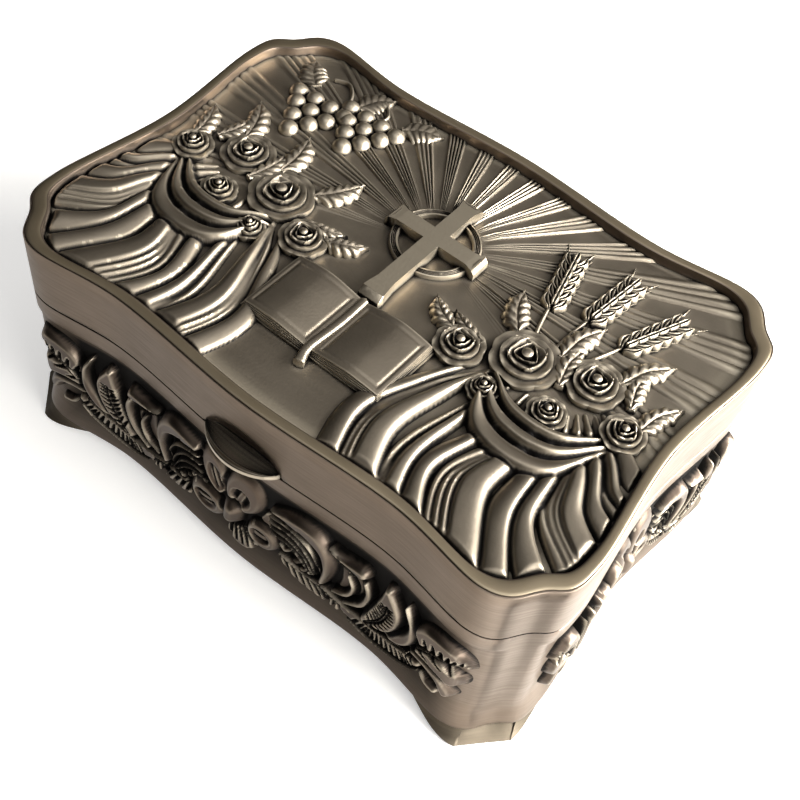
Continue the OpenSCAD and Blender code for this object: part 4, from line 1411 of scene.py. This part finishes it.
# %% Four garlands
FLOWER_HALF = 11
LONG_HALF = 50
SHORT_HALF = 28.4
SHORT_FLOWER = 0.8


def shorten(x):
    """Place on a short wall of a point that is drawn for a long one."""
    if abs(x) < FLOWER_HALF:
        return SHORT_FLOWER * x
    rest = (SHORT_HALF - SHORT_FLOWER * FLOWER_HALF) / (LONG_HALF - FLOWER_HALF)
    return math.copysign(SHORT_FLOWER * FLOWER_HALF + (abs(x) - FLOWER_HALF) * rest, x)


drawing = wax.mesh()
for name, line, turn in (("front", long_line, 0), ("back", long_line, 180),
                         ("right", short_line, 90), ("left", short_line, 270)):
    bm = drawing.copy()
    if line is short_line:
        for vert in bm.verts:
            vert.co.x = shorten(vert.co.x)
    wrap(bm, line, math.radians(turn))
    casting(bm, "garland_" + name + "_casting", garland_pewter, "base", ["garland_" + name])
drawing.free()

# %% [markdown]
# ## Feet
#
# A foot is a bracket under the hem of each corner. Its lower edge slants from nothing to
# two splayed tips, with a flat chamfer between them. It is made as one strip: a section of
# eight points that follows the corner of the outline and opens outwards towards the tips.

# %% Feet
FOOT_RUN_L = 17.3
FOOT_RUN_W = 17
FOOT_T = 2.6
FOOT_END_H = 0.5
FOOT_TOP = HEM_Z + 0.05
FOOT_ROWS = (0, 0.25, 0.5, 0.75, 0.94)
FOOT_FLARE = 1.3
UNDER_HEM = 0.55
SOLE_ROUND = 0.12
SPLAY_A = Vector((1, 3))
SPLAY_B = Vector((1.6, 3))
tip_a = Vector((HALF_L, HALF_W)) - LOBE_A
tip_b = Vector((HALF_L, HALF_W)) - LOBE_B
corner_outer = quarter(0, SIDE_STEPS)
corner_inner = quarter(FOOT_T, SIDE_STEPS)
corner = [i for i, p in enumerate(corner_outer)
          if p.x > HALF_L - FOOT_RUN_L and p.y > HALF_W - FOOT_RUN_W]


def foot_section(i):
    """Eight points round the foot where it follows point i of the corner."""
    o = corner_outer[i]
    n = corner_inner[i]
    weight = min(part_way(o.x, HALF_L - FOOT_RUN_L, tip_a.x),
                 part_way(o.y, HALF_W - FOOT_RUN_W, tip_b.y))
    along_chamfer = part_way(o.x, tip_a.x, tip_b.x)
    on_chamfer = o.x > tip_a.x and o.y > tip_b.y
    if on_chamfer:
        tip = (tip_a + SPLAY_A).lerp(tip_b + SPLAY_B, along_chamfer)
    else:
        tip = o + weight * (SPLAY_A if o.x <= tip_a.x else SPLAY_B)
    base_z = (HEM_Z - FOOT_END_H) * (1 - weight)
    top = o + (o - n).normalized() * (0 if on_chamfer else UNDER_HEM)
    rows = [Vector((*top.lerp(tip, f ** FOOT_FLARE), FOOT_TOP - (FOOT_TOP - base_z) * f))
            for f in FOOT_ROWS]
    sole = tip.lerp(n, SOLE_ROUND)
    return rows + [Vector((*sole, base_z)), Vector((*n, base_z)), Vector((*n, FOOT_TOP))]


sections = [foot_section(i) for i in corner]
last = len(sections) - 1
for name, mirror_x, mirror_y in (("back_right", 1, 1), ("back_left", -1, 1),
                                 ("front_right", 1, -1), ("front_left", -1, -1)):
    bm = bmesh.new()
    bend_grid(bm, last, 8, lambda u, v: sections[round(u * last)][round(v * 8) % 8])
    bmesh.ops.holes_fill(bm, edges=[e for e in bm.edges if e.is_boundary], sides=0)
    bmesh.ops.scale(bm, vec=(mirror_x, mirror_y, 1), verts=bm.verts)
    # the feet's darker pewter is painted shade
    casting(bm, "foot_" + name + "_casting", foot_pewter_painted_shade, "base", ["foot_" + name])

# %% [markdown]
# ## Thumb lip
#
# The lip is a thin crescent under the scoop in the band. Its upper face carries the scoop's
# hollow outwards to a thin bright edge. A grid runs from side to side and from the band out
# to the edge, and the underside is flat, so it just clears the base.

# %% Thumb lip
LIP_HALF = 7.9
LIP_OUT = 3.5
LIP_ROOT = 1.1
LIP_HEIGHTS = (0.95, 0.7, 0.5, 0.42, 0.42, 0.5, 0.95, 0.98, 0.8)
BAND_Y = HALF_W - FRONT_SWELL


def lip_face(u, v):
    """The lip's upper face, from side to side (u) and from the band outwards (v)."""
    x = (2 * u - 1) * LIP_HALF
    bow = math.sqrt(max(0, 1 - (x / LIP_HALF) ** 2))
    outer = LIP_OUT * bow ** 1.5
    inner = -LIP_ROOT * bow - 0.1
    out = inner + (outer - inner) * (1 - (1 - v) ** 1.3)
    return x, -(BAND_Y - 0.3 * (x / LIP_HALF) ** 2) - out, blend(LIP_HEIGHTS, v) + 0.1 * (1 - bow)


bm = bmesh.new()
island(bm, 64, 32, lip_face, foot=0.05)
bmesh.ops.translate(bm, vec=(0, 0, LID_Z), verts=bm.verts)
casting(bm, "thumb_lip_casting", lip_pewter, "lid", ["thumb_lip"])

# %% [markdown]
# ## Hinge and bottom plate
#
# The hinge leaves, their rivets and the pin are small machined pieces, and the bottom is a
# plain rolled sheet. Their frame solids already have the right shape, so they stay, get a
# fine bevel from modifiers and their own finishes. A solid's triangles are loose, so a
# Weld modifier joins them before the bevel. The two boards under the velvet stay as well.

# %% Steel, sheet pewter and card
def plain_finish(name, colours, metallic, roughness, pattern_mm, stretch, depth):
    """A finish whose colour and gloss wander between two values along a noise.

    stretch is how many times longer the pattern is along each axis.
    """
    material, tree, body = new_finish(name)
    place = add(tree, "ShaderNodeTexCoord").outputs["Object"]
    drawn = add(tree, "ShaderNodeMapping", Vector=place,
                Scale=[1 / (pattern_mm * s * MM) for s in stretch]).outputs["Vector"]
    noise = add(tree, "ShaderNodeTexNoise", Vector=drawn, Scale=1, Detail=4).outputs["Fac"]
    tree.links.new(ramp(tree, noise, (0.3, colours[0]), (0.7, colours[1])),
                   body.inputs["Base Color"])
    gloss = add(tree, "ShaderNodeMapRange", Value=noise, From_Min=0.3, From_Max=0.7,
                To_Min=roughness[0], To_Max=roughness[1]).outputs["Result"]
    tree.links.new(gloss, body.inputs["Roughness"])
    body.inputs["Metallic"].default_value = metallic
    bump = add(tree, "ShaderNodeBump", Strength=0.3, Distance=depth * MM, Height=noise)
    tree.links.new(bump.outputs["Normal"], body.inputs["Normal"])
    return material


# turned rod: bright, cool grey, with fine rings
steel = plain_finish("turned_steel", ("#8b8985", "#b5b2ac"), 1, (0.22, 0.34), 0.2,
                     (1, 12, 12), 0.01)
# sheet as it leaves the rolls: even, with a faint grain along its length
sheet_pewter = plain_finish("rolled_sheet_pewter", ("#6d665a", "#8d8577"), 1, (0.34, 0.5), 0.25,
                            (24, 1, 1), 0.02)
# sawn strip, wiped with the film: dull and brownish
hinge_pewter = plain_finish("sawn_hinge_pewter", ("#746c5f", "#837a6b"), 1, (0.34, 0.42), 0.2,
                            (16, 1, 1), 0.02)
# pressed grey board, gone buff with age: matt, seen only at an open edge
card = plain_finish("grey_card_board", ("#8f7b58", "#a8946f"), 0, (0.8, 0.95), 0.5, (3, 1, 1), 0.05)
EDGE_BREAK = 0.1
KEPT = {"hinge_base_leaf": (hinge_pewter, "antique_pewter"),
        "hinge_lid_leaf": (hinge_pewter, "antique_pewter"),
        "hinge_base_rivets": (steel, "steel"), "hinge_lid_rivets": (steel, "steel"),
        "hinge_pin": (steel, "steel"), "bottom_plate": (sheet_pewter, "sheet_pewter"),
        "floor_board": (card, "card"), "lid_board": (card, "card")}
for name, (finish, slot_name) in KEPT.items():
    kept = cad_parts[name]
    kept.data.materials.clear()
    kept.data.materials.append(finish)
    weld = kept.modifiers.new("weld", "WELD")
    weld.merge_threshold = 0.001 * MM
    bevel = kept.modifiers.new("bevel", "BEVEL")
    bevel.width = EDGE_BREAK * MM
    bevel.segments = 2
    bevel.limit_method = "ANGLE"
    bevel.angle_limit = math.radians(50)
print("kept frame solids:", sorted(KEPT))

# %% [markdown]
# ## Velvet lining
#
# A pad lies on the floor, a pad fills the lid and a strip goes round the walls. Cotton
# velvet has a dense pile that is dark face on and shines at a slant, so the material has a
# strong sheen and a nap that leans in soft clouds. A real pile is finer than 0.1 mm, and it
# is drawn at 0.35 mm so that it shows.

# %% Velvet
PILE_MM = 0.35
NAP_MM = 14
velvet, pile_tree, body = new_finish("burgundy_cotton_velvet")
place = add(pile_tree, "ShaderNodeTexCoord").outputs["Object"]
nap = add(pile_tree, "ShaderNodeTexNoise", Vector=place, Scale=1 / (NAP_MM * MM),
          Detail=3).outputs["Fac"]
pile = add(pile_tree, "ShaderNodeTexNoise", Vector=place, Scale=1 / (PILE_MM * MM),
           Detail=2).outputs["Fac"]
both = add(pile_tree, "ShaderNodeMath", {"operation": "MULTIPLY_ADD"}, in0=pile, in1=0.35,
           in2=nap).outputs["Value"]
pile_tree.links.new(ramp(pile_tree, both, (0.45, "#4a0e19"), (0.65, "#5d1521"), (0.85, "#6e1c2b")),
                    body.inputs["Base Color"])
nap_bump = add(pile_tree, "ShaderNodeBump", Strength=0.6, Distance=0.12 * MM, Height=pile)
pile_tree.links.new(nap_bump.outputs["Normal"], body.inputs["Normal"])
body.inputs["Roughness"].default_value = 0.92
body.inputs["Sheen Weight"].default_value = 0.7
body.inputs["Sheen Roughness"].default_value = 0.35
body.inputs["Sheen Tint"].default_value = hex_colour("#c8566a")
print("velvet pile", PILE_MM, "mm, nap", NAP_MM, "mm")

# %% Pads and wall strip
PUCKERS = 44
PUCKER_DEEP = 0.12
ROLL_MM = 1.6


def velvet_pad(name, node, body_name, inset, soft_side):
    """A crowned pad in the node's space. soft_side is 1 if its top swells, -1 if its underside."""
    bottom = low(node).z
    top = high(node).z
    rim_line = outline(inset, 8)
    middle = Vector((0, 0))
    around = len(rim_line)

    def shape(u, v):
        edge = rim_line[round(u * around) % around]
        if v < 0.5:
            f = 2 * v
            spot = middle.lerp(edge, 1 - (1 - f) ** 2)
            return spot.x, spot.y, bottom if soft_side > 0 else top
        f = 2 - 2 * v
        share = 1 - (1 - f) ** 2
        spot = middle.lerp(edge, 1 - 0.012 * (1 - share)) if f > 0.98 else middle.lerp(edge, share)
        fall_off = (1 - share) * edge.length
        roll = 1 - math.exp(-fall_off / ROLL_MM)
        pucker = PUCKER_DEEP * math.sin(2 * math.pi * u * PUCKERS) * math.exp(-fall_off / 3)
        swell = 0.1 * math.sin(0.21 * spot.x + 1) * math.sin(0.27 * spot.y)
        thick = (top - bottom) * (0.45 + 0.47 * roll) + pucker * roll + swell * roll * 0.8
        return spot.x, spot.y, bottom + thick if soft_side > 0 else top - thick

    bm = bmesh.new()
    bend_grid(bm, around, 48, shape)
    pad = casting(bm, name, velvet, body_name, [node], 80)


velvet_pad("floor_velvet_pad", "floor_velvet", "base", 4.0, 1)
velvet_pad("lid_velvet_pad", "lid_velvet", "lid", 2.5, -1)
STRIP_OUTER = 2.55
STRIP_INNER = 3.65
strip_low = low("wall_velvet").z
strip_high = high("wall_velvet").z
strip_profile = [
    (STRIP_OUTER, strip_low), (STRIP_OUTER, 20), (STRIP_OUTER, strip_high - 0.5),
    (2.75, strip_high - 0.15), (3.1, strip_high), (3.45, strip_high - 0.15),
    (STRIP_INNER, strip_high - 0.5)]
strip_profile += [(STRIP_INNER, strip_high - 2 * i) for i in range(1, 13)]
strip_profile += [(STRIP_INNER, strip_low)]
strip = casting(swept(strip_profile), "wall_velvet_strip", velvet, "base", ["wall_velvet"],
                80)
